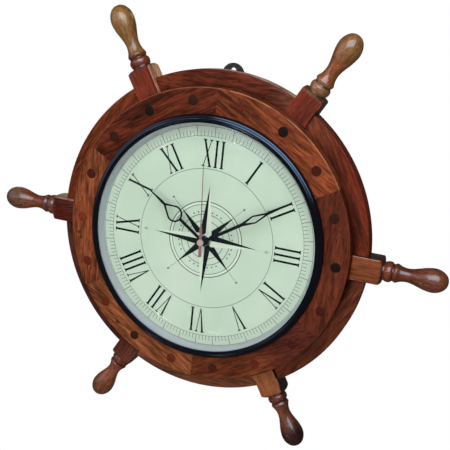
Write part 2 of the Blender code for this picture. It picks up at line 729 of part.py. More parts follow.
def build_train(axis):
    """The wheels are plain discs at their pitch circles, drawn in by half a gap."""
    slack = fit_gap / 2
    hour_front, hour_back = layer(hour_layer)
    idler_front, idler_back = layer(idler_layer)
    centre_front, centre_back = layer(centre_layer)
    third_front, third_back = layer(third_layer)
    seconds_front, seconds_back = layer(seconds_layer)
    fifth_front, fifth_back = layer(fifth_layer)

    hour_top = hour_hand_height + hand_thickness + tube_stand_out
    place(turned_mesh("hour_wheel", [
        (hour_tube_bore, hour_top), (hour_tube_radius, hour_top),
        (hour_tube_radius, hour_front), (hour_wheel_radius - slack, hour_front),
        (hour_wheel_radius - slack, hour_back), (hour_tube_bore, hour_back)], part_sides),
        "hour_wheel", wheel_plastic, axis)

    minute_top = minute_hand_height + hand_thickness + tube_stand_out
    place(turned_mesh("centre_wheel", [
        (minute_tube_bore, minute_top), (minute_tube_radius, minute_top),
        (minute_tube_radius, hour_back - fit_gap), (cannon_pinion_radius - slack, hour_back - fit_gap),
        (cannon_pinion_radius - slack, centre_front), (centre_wheel_radius - slack, centre_front),
        (centre_wheel_radius - slack, centre_back), (minute_tube_bore, centre_back)], part_sides),
        "centre_wheel", wheel_plastic, axis)

    second_top = second_hand_height + second_hub_height - second_hub_cap - fit_gap
    place(turned_mesh("seconds_wheel", [
        (0.0, second_top), (arbor_radius, second_top), (arbor_radius, third_front + fit_gap),
        (seconds_pinion_radius - slack, third_front + fit_gap),
        (seconds_pinion_radius - slack, seconds_front), (seconds_wheel_radius - slack, seconds_front),
        (seconds_wheel_radius - slack, seconds_back), (arbor_radius, seconds_back),
        (arbor_radius, arbor_back), (0.0, arbor_back)], part_sides),
        "seconds_wheel", wheel_plastic, axis)

    third_axis = axis_empty("third_axis", axis, right=-third_offset)
    place(turned_mesh("third_wheel", [
        (0.0, arbor_front), (arbor_radius, arbor_front), (arbor_radius, centre_front + fit_gap),
        (third_pinion_radius - slack, centre_front + fit_gap), (third_pinion_radius - slack, third_front),
        (third_wheel_radius - slack, third_front), (third_wheel_radius - slack, third_back),
        (arbor_radius, third_back), (arbor_radius, arbor_back), (0.0, arbor_back)], part_sides),
        "third_wheel", wheel_plastic, third_axis)

    fifth_axis = axis_empty("fifth_axis", axis, up=fifth_offset)
    place(turned_mesh("fifth_wheel", [
        (0.0, seconds_front), (fifth_pinion_radius - slack, seconds_front),
        (fifth_pinion_radius - slack, fifth_front), (fifth_wheel_radius - slack, fifth_front),
        (fifth_wheel_radius - slack, fifth_back), (arbor_radius, fifth_back),
        (arbor_radius, arbor_back), (0.0, arbor_back)], part_sides),
        "fifth_wheel", wheel_plastic, fifth_axis)

    rotor_axis = axis_empty("rotor_axis", axis, up=rotor_height)
    rotor_front = case_inside - rotor_end_play
    place(turned_mesh("rotor", [
        (0.0, arbor_front), (arbor_radius, arbor_front), (arbor_radius, rotor_front),
        (rotor_radius, rotor_front), (rotor_radius, rotor_front - rotor_length),
        (rotor_pinion_radius - slack, rotor_front - rotor_length),
        (rotor_pinion_radius - slack, fifth_back), (arbor_radius, fifth_back),
        (arbor_radius, arbor_back), (0.0, arbor_back)], part_sides),
        "rotor", magnet, rotor_axis)

    idler_axis = axis_empty("idler_axis", axis, right=idler_offset)
    knob_front = cover_back - knob_clearance
    place(turned_mesh("setting_knob", [
        (0.0, arbor_front), (idler_pinion_radius - slack, arbor_front),
        (idler_pinion_radius - slack, idler_front), (idler_wheel_radius - slack, idler_front),
        (idler_wheel_radius - slack, idler_back), (idler_arbor_radius, idler_back),
        (idler_arbor_radius, knob_front), (knob_radius, knob_front),
        (knob_radius, knob_front - knob_length), (0.0, knob_front - knob_length)], part_sides),
        "setting_knob", case_black, idler_axis)


def ring_arc(radius, start, end, steps, up=0.0):
    """Points on an arc about (0, up), clockwise from the upward direction."""
    return [(radius * math.sin(start + (end - start) * step / steps),
             up + radius * math.cos(start + (end - start) * step / steps))
            for step in range(steps + 1)]


def with_left_side(bottom, right_side):
    """A whole outline from its lowest point and its right side, listed upwards."""
    return [bottom] + right_side + [(-right, up) for right, up in reversed(right_side)]


def hour_hand_half(inset):
    """Right half of the pear loop, its line's inner edge drawn in by inset."""
    radius = hour_loop_radius - inset
    point = hour_loop_point - 2 * inset
    tangent = math.acos(radius / (point - hour_loop_centre))
    return ring_arc(radius, math.pi, tangent, loop_steps, hour_loop_centre) + [(0.0, point)]


def build_hour_hand(axis):
    stem_meet = math.pi - math.asin(hour_stem_width / 2 / hour_loop_radius)
    hub_meet = math.asin(hour_stem_width / 2 / hour_hub_radius)
    tangent = math.acos(hour_loop_radius / (hour_loop_point - hour_loop_centre))
    right_side = ring_arc(hour_hub_radius, math.pi, hub_meet, loop_steps)[1:]
    right_side += ring_arc(hour_loop_radius, stem_meet, tangent, loop_steps, hour_loop_centre)
    right_side += [(hour_blade_width / 2, hour_loop_point - hour_blade_width / 2),
                   (hour_blade_width / 2, hour_loop_point + hour_blade_width / 2),
                   (hour_tip_width / 2, hour_hand_length)]
    outline = with_left_side((0.0, -hour_hub_radius), right_side)
    base = hour_hand_height
    hand = place(prism_mesh("hour_hand", outline, base, base + hand_thickness),
                 "hour_hand", hand_black, axis, hour_hand_angle)
    half = hour_hand_half(hour_loop_line)
    loop = half + [(-right, up) for right, up in reversed(half[1:-1])]
    cuts = joined_mesh("hour_hand_cuts", [
        prism_mesh("loop", loop, base - cut_overrun, base + hand_thickness + cut_overrun),
        prism_mesh("bore", circle_outline(hour_tube_radius + fit_gap, hole_sides),
                   base - cut_overrun, base + hand_thickness + cut_overrun)])
    shape_with(hand, tool_solid(cuts, "cut_hour_hand", axis, hour_hand_angle), 'DIFFERENCE')


def build_minute_hand(axis):
    hub_meet = math.asin(minute_stem_width / 2 / minute_hub_radius)
    right_side = ring_arc(minute_hub_radius, math.pi, hub_meet, loop_steps)[1:]
    right_side += [(minute_stem_width / 2, minute_diamond_start),
                   (minute_diamond_width / 2, minute_diamond_middle),
                   (minute_blade_width / 2, minute_diamond_end),
                   (minute_tip_width / 2, minute_hand_length)]
    outline = with_left_side((0.0, -minute_hub_radius), right_side)
    base = minute_hand_height
    hand = place(prism_mesh("minute_hand", outline, base, base + hand_thickness),
                 "minute_hand", hand_black, axis, minute_hand_angle)
    line = minute_diamond_line
    inner = minute_diamond_width / 2 - line
    diamond = [(0.0, minute_diamond_start + line * 2), (inner, minute_diamond_middle),
               (0.0, minute_diamond_end - line * 2), (-inner, minute_diamond_middle)]
    cuts = joined_mesh("minute_hand_cuts", [
        prism_mesh("diamond", diamond, base - cut_overrun, base + hand_thickness + cut_overrun),
        prism_mesh("bore", circle_outline(minute_tube_radius + fit_gap, hole_sides),
                   base - cut_overrun, base + hand_thickness + cut_overrun)])
    shape_with(hand, tool_solid(cuts, "cut_minute_hand", axis, minute_hand_angle), 'DIFFERENCE')


def build_second_hand(axis):
    tail_half = second_tail_width / 2
    right_side = ring_arc(tail_half, math.pi, math.pi / 2, loop_steps // 2,
                          up=tail_half - second_tail_length)[1:]
    right_side += [(second_hand_width / 2, 0.0), (second_tip_width / 2, second_hand_length)]
    outline = with_left_side((0.0, -second_tail_length), right_side)
    base = second_hand_height
    hand = place(prism_mesh("second_hand", outline, base, base + second_hand_thickness),
                 "second_hand", hand_red, axis, second_hand_angle)
    hub = prism_mesh("second_hub", circle_outline(second_hub_radius, part_sides),
                     base - second_hand_thickness, base + second_hub_height)
    shape_with(hand, tool_solid(hub, "add_second_hub", axis), 'UNION')
    bore = prism_mesh("second_bore", circle_outline(arbor_radius + fit_gap, hole_sides),
                      base - cut_overrun, base + second_hub_height - second_hub_cap)
    shape_with(hand, tool_solid(bore, "cut_second_bore", axis), 'DIFFERENCE')


def main():
    clear_scene()
    centre = axis_empty("wheel_centre", up=-eye_to_centre)
    build_rings(centre)
    build_spokes(centre)
    build_rear_ring_and_hanger(centre)
    axis = axis_empty("hand_axis", centre, forward=dial_height)
    build_head(axis)
    build_case(axis)
    build_cell_and_coil(axis)
    build_stator(axis)
    build_train(axis)
    build_hour_hand(axis)
    build_minute_hand(axis)
    build_second_hand(axis)


main()
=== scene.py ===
import json
import math

import bmesh
import bpy
from mathutils import Matrix, Vector


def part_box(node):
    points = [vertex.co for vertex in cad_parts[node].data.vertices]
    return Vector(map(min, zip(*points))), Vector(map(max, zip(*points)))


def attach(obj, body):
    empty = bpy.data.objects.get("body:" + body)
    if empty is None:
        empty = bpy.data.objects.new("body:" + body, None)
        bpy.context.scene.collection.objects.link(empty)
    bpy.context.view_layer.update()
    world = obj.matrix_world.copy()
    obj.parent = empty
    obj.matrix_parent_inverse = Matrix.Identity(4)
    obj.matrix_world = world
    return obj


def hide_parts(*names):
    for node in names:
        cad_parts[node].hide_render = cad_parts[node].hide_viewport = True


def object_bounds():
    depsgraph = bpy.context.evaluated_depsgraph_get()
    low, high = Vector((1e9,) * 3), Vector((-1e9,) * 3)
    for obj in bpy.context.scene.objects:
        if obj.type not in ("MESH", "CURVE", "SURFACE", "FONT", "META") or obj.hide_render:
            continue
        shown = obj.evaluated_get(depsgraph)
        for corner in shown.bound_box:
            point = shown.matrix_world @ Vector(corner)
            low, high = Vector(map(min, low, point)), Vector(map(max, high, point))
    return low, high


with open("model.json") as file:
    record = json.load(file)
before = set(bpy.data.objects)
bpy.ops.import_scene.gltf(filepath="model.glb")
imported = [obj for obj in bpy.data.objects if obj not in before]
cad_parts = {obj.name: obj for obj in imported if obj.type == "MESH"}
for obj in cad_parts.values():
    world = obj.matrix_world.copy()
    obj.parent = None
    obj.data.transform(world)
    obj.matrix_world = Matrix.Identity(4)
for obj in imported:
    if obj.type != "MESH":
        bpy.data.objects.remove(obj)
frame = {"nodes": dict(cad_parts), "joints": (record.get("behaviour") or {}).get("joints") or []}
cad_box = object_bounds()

# Lengths are metres, as in the frame. Heights are counted forward, towards -Y:
# from the wall for the wheel, and from the dial's face for the clock head.
mm = 0.001
X, Y, Z = range(3)


def in_mm(*points):
    """Points given in millimetres, as a list in metres."""
    return [tuple(value * mm for value in point) for point in points]


def box_size(node, axis):
    low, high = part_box(node)
    return high[axis] - low[axis]


def box_middle(node, axis):
    low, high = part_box(node)
    return (low[axis] + high[axis]) / 2


# Places and sizes read from the frame
centre = Vector((0.0, 0.0, box_middle("dial", Z)))
dial_height = -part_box("dial")[0][Y]
dial_radius = box_size("dial", X) / 2
dial_thickness = box_size("dial", Y)


def heights(node, base=dial_height):
    """A node's back and front, counted forward from base."""
    low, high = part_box(node)
    return -high[Y] - base, -low[Y] - base


rear_radius = box_size("rear_ring", X) / 2
rear_thickness = box_size("rear_ring", Y)
main_radius = centre.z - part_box("main_felloe_3")[0][Z]
main_back, main_front = heights("main_felloe_3", 0.0)
front_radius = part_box("front_felloe_2")[1][X]
front_back, front_face = heights("front_felloe_2", 0.0)
wood_face = front_face - dial_height
ring_bore, tip_radius = (corner[X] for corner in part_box("spoke_2"))
block_width = box_size("spoke_2", Z)
spoke_height = -box_middle("spoke_2", Y)
plug_circle = -box_middle("plug_14", X)
plug_radius = box_size("plug_14", X) / 2

spoke_count = 6
first_spoke_angle = math.radians(30)
plug_angles = [math.radians(20) * step for step in (-1, 0, 1)]


def spoke_turn(index):
    """The angle of a spoke, or of the gap after it where half is added to its index."""
    return first_spoke_angle + math.tau * index / spoke_count


# Photograph: focal length and middle of the picture in its pixels
picture_side = 450
focal_pixels = 840.8
principal_right = 236.5
principal_down = 327.2
camera_place = Vector((263.5 * mm, -752.5 * mm, 63.0 * mm))
camera_right = Vector((0.93657, 0.33395, 0.10640))
camera_up = Vector((-0.21643, 0.31228, 0.92501))
camera_back = Vector((0.27568, -0.88936, 0.36474))


# Materials

def linear(red, green, blue):
    """A colour given as 0-255 picture values, in linear light."""
    parts = [value / 255 for value in (red, green, blue)]
    return tuple(part / 12.92 if part <= 0.04045 else ((part + 0.055) / 1.055) ** 2.4
                 for part in parts) + (1.0,)


def tones(middle, contrast=1.0):
    """(dark, middle, light) about a middle colour given as picture values."""
    dark = [value * (1 - 0.45 * contrast) for value in middle]
    light = [value * (1 + 0.29 * contrast) + 7 * contrast for value in middle]
    return linear(*dark), linear(*middle), linear(*light)


class Graph:
    """A small helper that adds and links a material's nodes."""

    def __init__(self, name):
        self.material = bpy.data.materials.new(name)
        self.material.use_nodes = True
        self.nodes = self.material.node_tree.nodes
        self.links = self.material.node_tree.links
        self.shader = self.nodes["Principled BSDF"]

    def feed(self, node, socket, value):
        """Links an output to an input, or sets the input to a plain value."""
        if isinstance(value, bpy.types.NodeSocket):
            self.links.new(value, node.inputs[socket])
        else:
            node.inputs[socket].default_value = value

    def add(self, kind, inputs=(), **settings):
        """A new node. Its inputs are a row of values, or values by socket."""
        node = self.nodes.new(kind)
        for key, value in settings.items():
            setattr(node, key, value)
        for socket, value in inputs.items() if isinstance(inputs, dict) else enumerate(inputs):
            self.feed(node, socket, value)
        return node

    def math(self, operation, first, second=0.0):
        return self.add("ShaderNodeMath", (first, second), operation=operation).outputs[0]

    def times(self, first, second):
        return self.math('MULTIPLY', first, second)

    def mix(self, factor, first, second, blend='MIX'):
        return self.add("ShaderNodeMix", {0: factor, 6: first, 7: second},
                        data_type='RGBA', blend_type=blend).outputs[2]

    def place(self):
        """The object's own coordinates."""
        return self.add("ShaderNodeTexCoord").outputs["Object"]

    def scaled(self, scale, shift=0.0):
        """The object's own coordinates, scaled by a number or per axis, and shifted."""
        scale = scale if isinstance(scale, tuple) else (scale,) * 3
        return self.add("ShaderNodeMapping", {
            "Vector": self.place(), "Scale": scale,
            "Location": (shift, shift * 0.7, shift * 1.3)}).outputs[0]

    def axes(self):
        """The object's own X, Y and Z."""
        return self.add("ShaderNodeSeparateXYZ", (self.scaled(1),)).outputs

    def length(self, vector):
        return self.add("ShaderNodeVectorMath", (vector,), operation='LENGTH').outputs["Value"]

    def noise(self, scale, seed=0.0, detail=2.0, roughness=0.5, distortion=0.0):
        return self.add("ShaderNodeTexNoise", {
            "Vector": self.scaled(scale, seed), "Scale": 1.0, "Detail": detail,
            "Roughness": roughness, "Distortion": distortion}).outputs["Fac"]

    def ramp(self, factor, places, colours):
        node = self.add("ShaderNodeValToRGB", (factor,))
        elements = node.color_ramp.elements
        while len(elements) < len(places):
            elements.new(0.5)
        for element, place, colour in zip(elements, places, colours):
            element.position = place
            element.color = colour
        return node.outputs[0]

    def span(self, value, low, high, new_low=0.0, new_high=1.0):
        return self.add("ShaderNodeMapRange", (value, low, high, new_low, new_high)).outputs[0]

    def bump(self, height, strength, distance):
        node = self.add("ShaderNodeBump", {"Strength": strength, "Distance": distance,
                                           "Height": height})
        self.feed(self.shader, "Normal", node.outputs[0])

    def finish(self, **values):
        """Feeds the shader's inputs, named with _ for a space."""
        for socket, value in values.items():
            self.feed(self.shader, socket.replace("_", " "), value)
        return self.material


def along_grain(grain, along, across):
    """Scales per axis for a pattern that is long along the grain's axis."""
    return tuple(along if axis == grain else across for axis in "XYZ")


def wood_pattern(graph, grain, seed, figure):
    """Varnished wood's lightness from 0 to 1, its fibres and its open pores."""
    def noise(along, across, shift=0.0, **settings):
        return graph.noise(along_grain(grain, along, across), seed + shift, **settings)

    broad = graph.span(noise(13, 60, detail=4.0, roughness=0.62, distortion=0.9 * figure),
                       0.36, 0.64)
    streak = graph.span(noise(50, 480, 5.0, detail=3.0, roughness=0.6), 0.36, 0.64)
    wave = graph.add("ShaderNodeTexWave", {
        "Vector": graph.scaled(along_grain(grain, 7, 75), seed), "Scale": 1.0,
        "Distortion": 2.2, "Detail": 3.0, "Detail Scale": 1.6}, bands_direction='DIAGONAL')
    fibre = noise(120, 1300)
    pores = graph.span(noise(130, 820, detail=1.0), 0.57, 0.65)
    value = graph.times(broad, 0.34)
    for layer, weight in ((streak, 0.36), (wave.outputs["Fac"], 0.08 * figure), (fibre, 0.22)):
        value = graph.math('ADD', value, graph.times(layer, weight))
    return value, fibre, pores


def knot_share(graph, right, up, radius):
    """A round dark knot with a soft edge, at (right, up) in the piece's own place."""
    distance = graph.add("ShaderNodeVectorMath", (graph.scaled((1, 0, 1)), (right, 0, up)),
                         operation='DISTANCE').outputs["Value"]
    edge = graph.math('ADD', distance, graph.times(graph.noise(300, detail=3.0), radius))
    return graph.span(edge, radius * 0.8, radius * 2.0, 0.9, 0.0)


# Stretch of a grip whose turned grooves are darkened, and the tints along it
groove_start, groove_end = 165 * mm, 183 * mm
clean, soot, deep_soot = (1, 1, 1, 1), (0.32, 0.28, 0.26, 1), (0.20, 0.17, 0.16, 1)
# Tint of the painted shade that the front ring casts onto the main ring
painted_shade_tint = (0.15, 0.12, 0.11, 1.0)


def wood(name, shades, zones=(), grain='X', seed=0.0, figure=1.0, gloss=0.42, sheen=0.035,
         knots=(), burnt=False, side=None, wear_and_highlight=None, painted_shade=None):
    """Varnished wood. Each zone is (start along Z, fade, shades), from the middle outwards.

    burnt darkens the turned grooves. side is (direction along X, start, end, shades) and
    fades to other shades between two distances from the middle: a change of tone across a
    board, and on a spoke's block one side face painted pale as highlight or dark as shade.
    rubbed is the colour of a square block's long edges, where the varnish has worn thin.
    The painted shade argument is (direction along X, radius): it darkens the corner at that
    radius, where the front ring shades the main ring, towards one end.
    """
    graph = Graph(name)
    value, fibre, pores = wood_pattern(graph, grain, seed, figure)
    across, deep, outwards = graph.axes()

    def toned(shades):
        colour = graph.ramp(value, (0.20, 0.48, 0.82), shades)
        return graph.mix(graph.times(pores, 0.6), colour, shades[0])

    colour = toned(shades)
    for start, fade, zone_shades in zones:
        share = graph.span(outwards, start - fade, start + fade)
        colour = graph.mix(share, colour, toned(zone_shades))
    if side:
        direction, start, end, side_shades = side
        share = graph.span(graph.times(across, direction), start, end)
        colour = graph.mix(share, colour, toned(side_shades))
    if wear_and_highlight:
        corner = graph.math('MINIMUM', *(graph.math('ABSOLUTE', axis) for axis in (across, deep)))
        edge = graph.span(corner, block_width / 2 - 1.1 * mm, block_width / 2 - 0.6 * mm)
        broken = graph.span(graph.noise(90, seed, detail=4.0), 0.46, 0.58)
        colour = graph.mix(graph.times(edge, broken), colour, wear_and_highlight)
    # Painted shade: darkens the main ring's corner along the front ring, towards one end
    if painted_shade:
        direction, radius = painted_shade
        length = graph.length(graph.scaled((1, 0, 1)))
        near = graph.span(length, radius + 1 * mm, radius + 8 * mm, 1.0, 0.0)
        far = graph.span(graph.times(across, direction), 10 * mm, 55 * mm)
        colour = graph.mix(graph.times(near, far), colour, painted_shade_tint, 'MULTIPLY')
    if burnt:
        burn = graph.ramp(graph.span(outwards, groove_start, groove_end),
                          (0.0, 0.14, 0.24, 0.56, 0.635, 0.71),
                          (clean, soot, clean, clean, deep_soot, clean))
        colour = graph.mix(1.0, colour, burn, 'MULTIPLY')
    for knot in knots:
        colour = graph.mix(knot_share(graph, *knot), colour, linear(40, 18, 14))
    graph.bump(graph.math('SUBTRACT', graph.times(fibre, 0.5), pores), 0.25, 0.10 * mm)
    rough = graph.span(fibre, 0.3, 0.7, gloss - 0.06, gloss + 0.10)
    return graph.finish(Base_Color=colour, Roughness=rough, Specular_IOR_Level=sheen,
                        Coat_Weight=sheen * 0.6, Coat_Roughness=0.16)


def end_grain(name, shades, seed):
    """A plug's top: close rings with dark pores."""
    graph = Graph(name)
    spots = graph.noise(900, seed, detail=3.0, roughness=0.7)
    rings = graph.noise((260, 260, 700), seed, distortion=0.8)
    value = graph.math('ADD', graph.times(spots, 0.5), graph.times(rings, 0.5))
    graph.bump(spots, 0.35, 0.10 * mm)
    return graph.finish(Base_Color=graph.ramp(value, (0.38, 0.52, 0.66), shades),
                        Roughness=0.50, Specular_IOR_Level=0.04)


def wear_and_highlight_edge(name, middle, worn, seed):
    """Varnish worn thin along a board's edge, in broken lengths; where its tone is set pale, it is
    also a painted highlight.
    """
    graph = Graph(name)
    shades = (linear(*middle), linear(*worn), linear(*(value * 1.22 for value in worn)))
    broken = graph.noise(60, seed, detail=4.0, roughness=0.6)
    graph.bump(graph.noise(900, seed), 0.25, 0.08 * mm)
    return graph.finish(Base_Color=graph.ramp(broken, (0.36, 0.48, 0.64), shades),
                        Roughness=0.45, Specular_IOR_Level=0.12)


def moulded(name, colour, roughness, grain=0.15, scale=1500, mottle=0.06, **values):
    """Plastic, lacquer or paper: a fine skin and a little unevenness of colour."""
    graph = Graph(name)
    cloud = graph.noise(25, detail=3.0)
    shade = graph.span(cloud, 0.3, 0.7, 1.0 - mottle, 1.0 + mottle)
    graph.bump(graph.noise(scale), grain, 0.05 * mm)
    return graph.finish(Base_Color=graph.mix(1.0, linear(*colour), shade, 'MULTIPLY'),
                        Roughness=graph.span(cloud, 0.3, 0.7, roughness * 0.9, roughness * 1.12),
                        **values)


def metal(name, colour, roughness, stretch=(200, 2500, 2500)):
    """Metal with fine drawn or turned lines."""
    graph = Graph(name)
    lines = graph.noise(stretch, detail=3.0, roughness=0.6)
    shade = graph.span(lines, 0.3, 0.7, 0.88, 1.08)
    graph.bump(lines, 0.15, 0.03 * mm)
    return graph.finish(Base_Color=graph.mix(1.0, linear(*colour), shade, 'MULTIPLY'),
                        Roughness=graph.span(lines, 0.3, 0.7, roughness * 0.7, roughness * 1.3),
                        Metallic=1.0)


def dial_paper():
    """Pale green printed card with faint fibres, a little greyer towards its rim as painted shade
    from the bezel.
    """
    graph = Graph("dial_card")
    # Painted shade: the card turns grey towards its rim, as if shaded by the bezel
    rim = graph.span(graph.length(graph.place()), dial_radius * 0.88, dial_radius)
    greens = linear(192, 215, 194), linear(200, 222, 202), linear(208, 226, 209)
    field = graph.ramp(graph.noise(14, detail=4.0, roughness=0.6), (0.35, 0.55, 0.70), greens)
    graph.bump(graph.noise(1800, detail=3.0), 0.08, 0.02 * mm)
    return graph.finish(Base_Color=graph.mix(rim, field, linear(190, 206, 191)),
                        Roughness=0.55, Specular_IOR_Level=0.3)


def clear_dome():
    """Clear moulded lens: almost open to light, with a smooth skin."""
    graph = Graph("clear_dome")
    ripple = graph.noise(30, detail=1.0)
    graph.bump(ripple, 0.004, 0.1 * mm)
    return graph.finish(Base_Color=(0.03, 0.04, 0.05, 1.0), Alpha=0.08, Specular_IOR_Level=0.65,
                        Roughness=graph.span(ripple, 0.3, 0.7, 0.11, 0.14))


def cell_jacket():
    """A plain cell jacket: dark body and a copper-coloured band at one end."""
    graph = Graph("cell_jacket")
    band = graph.span(graph.axes()[X], 10.0 * mm, 10.2 * mm)
    graph.bump(graph.noise((300, 2000, 2000)), 0.1, 0.03 * mm)
    return graph.finish(Base_Color=graph.mix(band, linear(58, 62, 68), linear(176, 112, 70)),
                        Roughness=0.32, Metallic=0.6)


# Outlines, as lists of (right, up) points

def arc(radius, start, end, steps, right=0.0, up=0.0):
    """Points on an arc, clockwise from the upward direction."""
    return [(right + radius * math.sin(start + (end - start) * step / steps),
             up + radius * math.cos(start + (end - start) * step / steps))
            for step in range(steps + 1)]


def circle(radius, sides=48, right=0.0, up=0.0):
    return arc(radius, 0.0, math.tau, sides, right, up)[:-1]


def polar(radius, turn):
    """The point at a radius, turned clockwise from the upward direction."""
    return radius * math.sin(turn), radius * math.cos(turn)


def rectangle(left, right, bottom, top):
    return [(left, bottom), (right, bottom), (right, top), (left, top)]


def rounded_box(left, right, bottom, top, radius, steps=6):
    points = []
    for x, z, start in ((right - radius, top - radius, 0.0),
                        (right - radius, bottom + radius, math.pi / 2),
                        (left + radius, bottom + radius, math.pi),
                        (left + radius, top - radius, math.pi * 1.5)):
        points += arc(radius, start, start + math.pi / 2, steps, x, z)
    return points


def turned_points(points, angle):
    """Points turned clockwise about the middle."""
    return [(right * math.cos(angle) + up * math.sin(angle),
             -right * math.sin(angle) + up * math.cos(angle)) for right, up in points]


def with_left_side(right_side):
    """A whole outline from its right side, listed upwards from its lowest point."""
    return right_side + [(-right, up) for right, up in reversed(right_side) if right > 0]


def smooth_line(points, steps):
    """A smooth curve through the points, with so many steps between two of them."""
    made = []
    for index in range(len(points) - 1):
        before = Vector(points[max(index - 1, 0)])
        start = Vector(points[index])
        end = Vector(points[index + 1])
        after = Vector(points[min(index + 2, len(points) - 1)])
        for step in range(steps):
            share = step / steps
            made.append(0.5 * (2 * start + (end - before) * share
                               + (2 * before - 5 * start + 4 * end - after) * share ** 2
                               + (3 * start - before - 3 * end + after) * share ** 3))
    made.append(Vector(points[-1]))
    return [tuple(point) for point in made]


# Meshes and pieces

past = 1 * mm  # how far a cutter reaches beyond the surface that it opens


def finish_mesh(builder, name, angle=35):
    bmesh.ops.recalc_face_normals(builder, faces=builder.faces)
    mesh = bpy.data.meshes.new(name)
    builder.to_mesh(mesh)
    builder.free()
    mesh.shade_smooth()
    mesh.set_sharp_from_angle(angle=math.radians(angle))
    return mesh


def join_rings(builder, ring, following):
    """Faces between two closed rings of points. A ring of one point is a tip."""
    sides = max(len(ring), len(following))
    for step in range(sides if sides > 1 else 0):
        nearby = (step + 1) % sides
        corners = [ring[step % len(ring)], ring[nearby % len(ring)],
                   following[nearby % len(following)], following[step % len(following)]]
        builder.faces.new(list(dict.fromkeys(corners)))


def turned(name, outline, sides=128, angle=35):
    """A solid turned about the local Y axis from closed (radius, height) points."""
    builder = bmesh.new()
    rings = [[builder.verts.new((x, -height, z))
              for x, z in (circle(radius, sides) if radius else [(0.0, 0.0)])]
             for radius, height in outline]
    for index, ring in enumerate(rings):
        join_rings(builder, ring, rings[(index + 1) % len(rings)])
    return finish_mesh(builder, name, angle)


def add_prism(builder, outline, back, front):
    """Adds a flat piece and returns its front face."""
    lower = [builder.verts.new((right, -back, up)) for right, up in outline]
    upper = [builder.verts.new((right, -front, up)) for right, up in outline]
    builder.faces.new(lower)
    front_side = builder.faces.new(upper)
    for index in range(len(outline)):
        nearby = (index + 1) % len(outline)
        builder.faces.new((lower[index], lower[nearby], upper[nearby], upper[index]))
    return front_side


def prism(name, outlines, back, front, bevel=0.0):
    """Flat pieces from one or more outlines, their front edges rounded by bevel."""
    builder = bmesh.new()
    for outline in outlines:
        face = add_prism(builder, outline, back, front)
        if bevel:
            bmesh.ops.bevel(builder, geom=list(face.edges), offset=bevel, segments=2,
                            profile=0.5, affect='EDGES', clamp_overlap=True)
    return finish_mesh(builder, name)


def add_object(name, data):
    obj = bpy.data.objects.new(name, data)
    bpy.context.collection.objects.link(obj)
    return obj


def boolean(mesh, tool_mesh, operation='DIFFERENCE', angle=35):
    """The mesh cut by, met by or joined to the tool mesh, as a new mesh."""
    body = add_object("shaped", mesh)
    tool = add_object("tool", tool_mesh)
    modifier = body.modifiers.new("shape", 'BOOLEAN')
    modifier.operation = operation
    modifier.solver = 'EXACT'
    modifier.object = tool
    depsgraph = bpy.context.evaluated_depsgraph_get()
    made = bpy.data.meshes.new_from_object(body.evaluated_get(depsgraph))
    made.name = mesh.name
    for obj in (body, tool):
        bpy.data.objects.remove(obj, do_unlink=True)
    made.shade_smooth()
    made.set_sharp_from_angle(angle=math.radians(angle))
    return made


def cut(mesh, outlines, back, front, angle=35):
    """The mesh without the flat pieces of these outlines."""
    return boolean(mesh, prism("cutter", outlines, back, front), angle=angle)


def piece(name, mesh, materials, slot, node=None, body="clock", turn=0.0, right=0.0, up=0.0,
          height=dial_height):
    """A piece about the wheel's centre, turned clockwise by turn as seen from the front.

    It stands for the CAD node, where one is given. height is where its own heights start.
    """
    obj = add_object(name, mesh)
    if not isinstance(materials, list):
        materials = [materials]
    while len(mesh.materials) < len(materials):
        mesh.materials.append(None)
    for material_slot, material in zip(obj.material_slots, materials):
        material_slot.link = 'OBJECT'
        material_slot.material = material
    place = Matrix.Translation(centre + Vector((right, -height, up)))
    obj.matrix_world = place @ Matrix.Rotation(turn, 4, 'Y')
    bpy.context.view_layer.update()
    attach(obj, body)
    if node:
        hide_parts(node)


# Rings of the wheel

arc_steps = 30
edge_round = 1.5 * mm
joint_line = 0.03 * mm
plug_depth = 5.0 * mm
plug_gap = 0.08 * mm


def board_mesh(name, outer, end_offset, back, front):
    """A sixth of a ring about the upward direction, with rounded outer rims.

    Material 1 is on the rounded strip of each rim, for wear and painted highlight, and material 2
    on the outer wall.
    """
    edge = edge_round
    turns = [0.0, math.radians(25), math.radians(65), math.pi / 2]
    section = [(ring_bore, back), (ring_bore, front)]
    section += [(outer - edge + edge * math.sin(turn), front - edge + edge * math.cos(turn))
                for turn in turns]
    section += [(outer - edge + edge * math.cos(turn), back + edge - edge * math.sin(turn))
                for turn in turns]
    slots = (0, 0, 0, 1, 0, 2, 0, 1, 0, 0)
    builder = bmesh.new()
    rings = []
    for radius, height in section:
        limit = math.pi / spoke_count - math.asin(end_offset / radius)
        turns = [limit * (2 * step / arc_steps - 1) for step in range(arc_steps + 1)]
        rings.append([builder.verts.new((x, -height, z))
                      for x, z in (polar(radius, turn) for turn in turns)])
    for index, ring in enumerate(rings):
        following = rings[(index + 1) % len(rings)]
        for step in range(arc_steps):
            face = builder.faces.new((ring[step], ring[step + 1],
                                      following[step + 1], following[step]))
            face.material_index = slots[index]
    for step in (0, arc_steps):
        builder.faces.new([ring[step] for ring in rings])
    mesh = finish_mesh(builder, name, 40)
    for _ in range(3):
        mesh.materials.append(None)
    return mesh


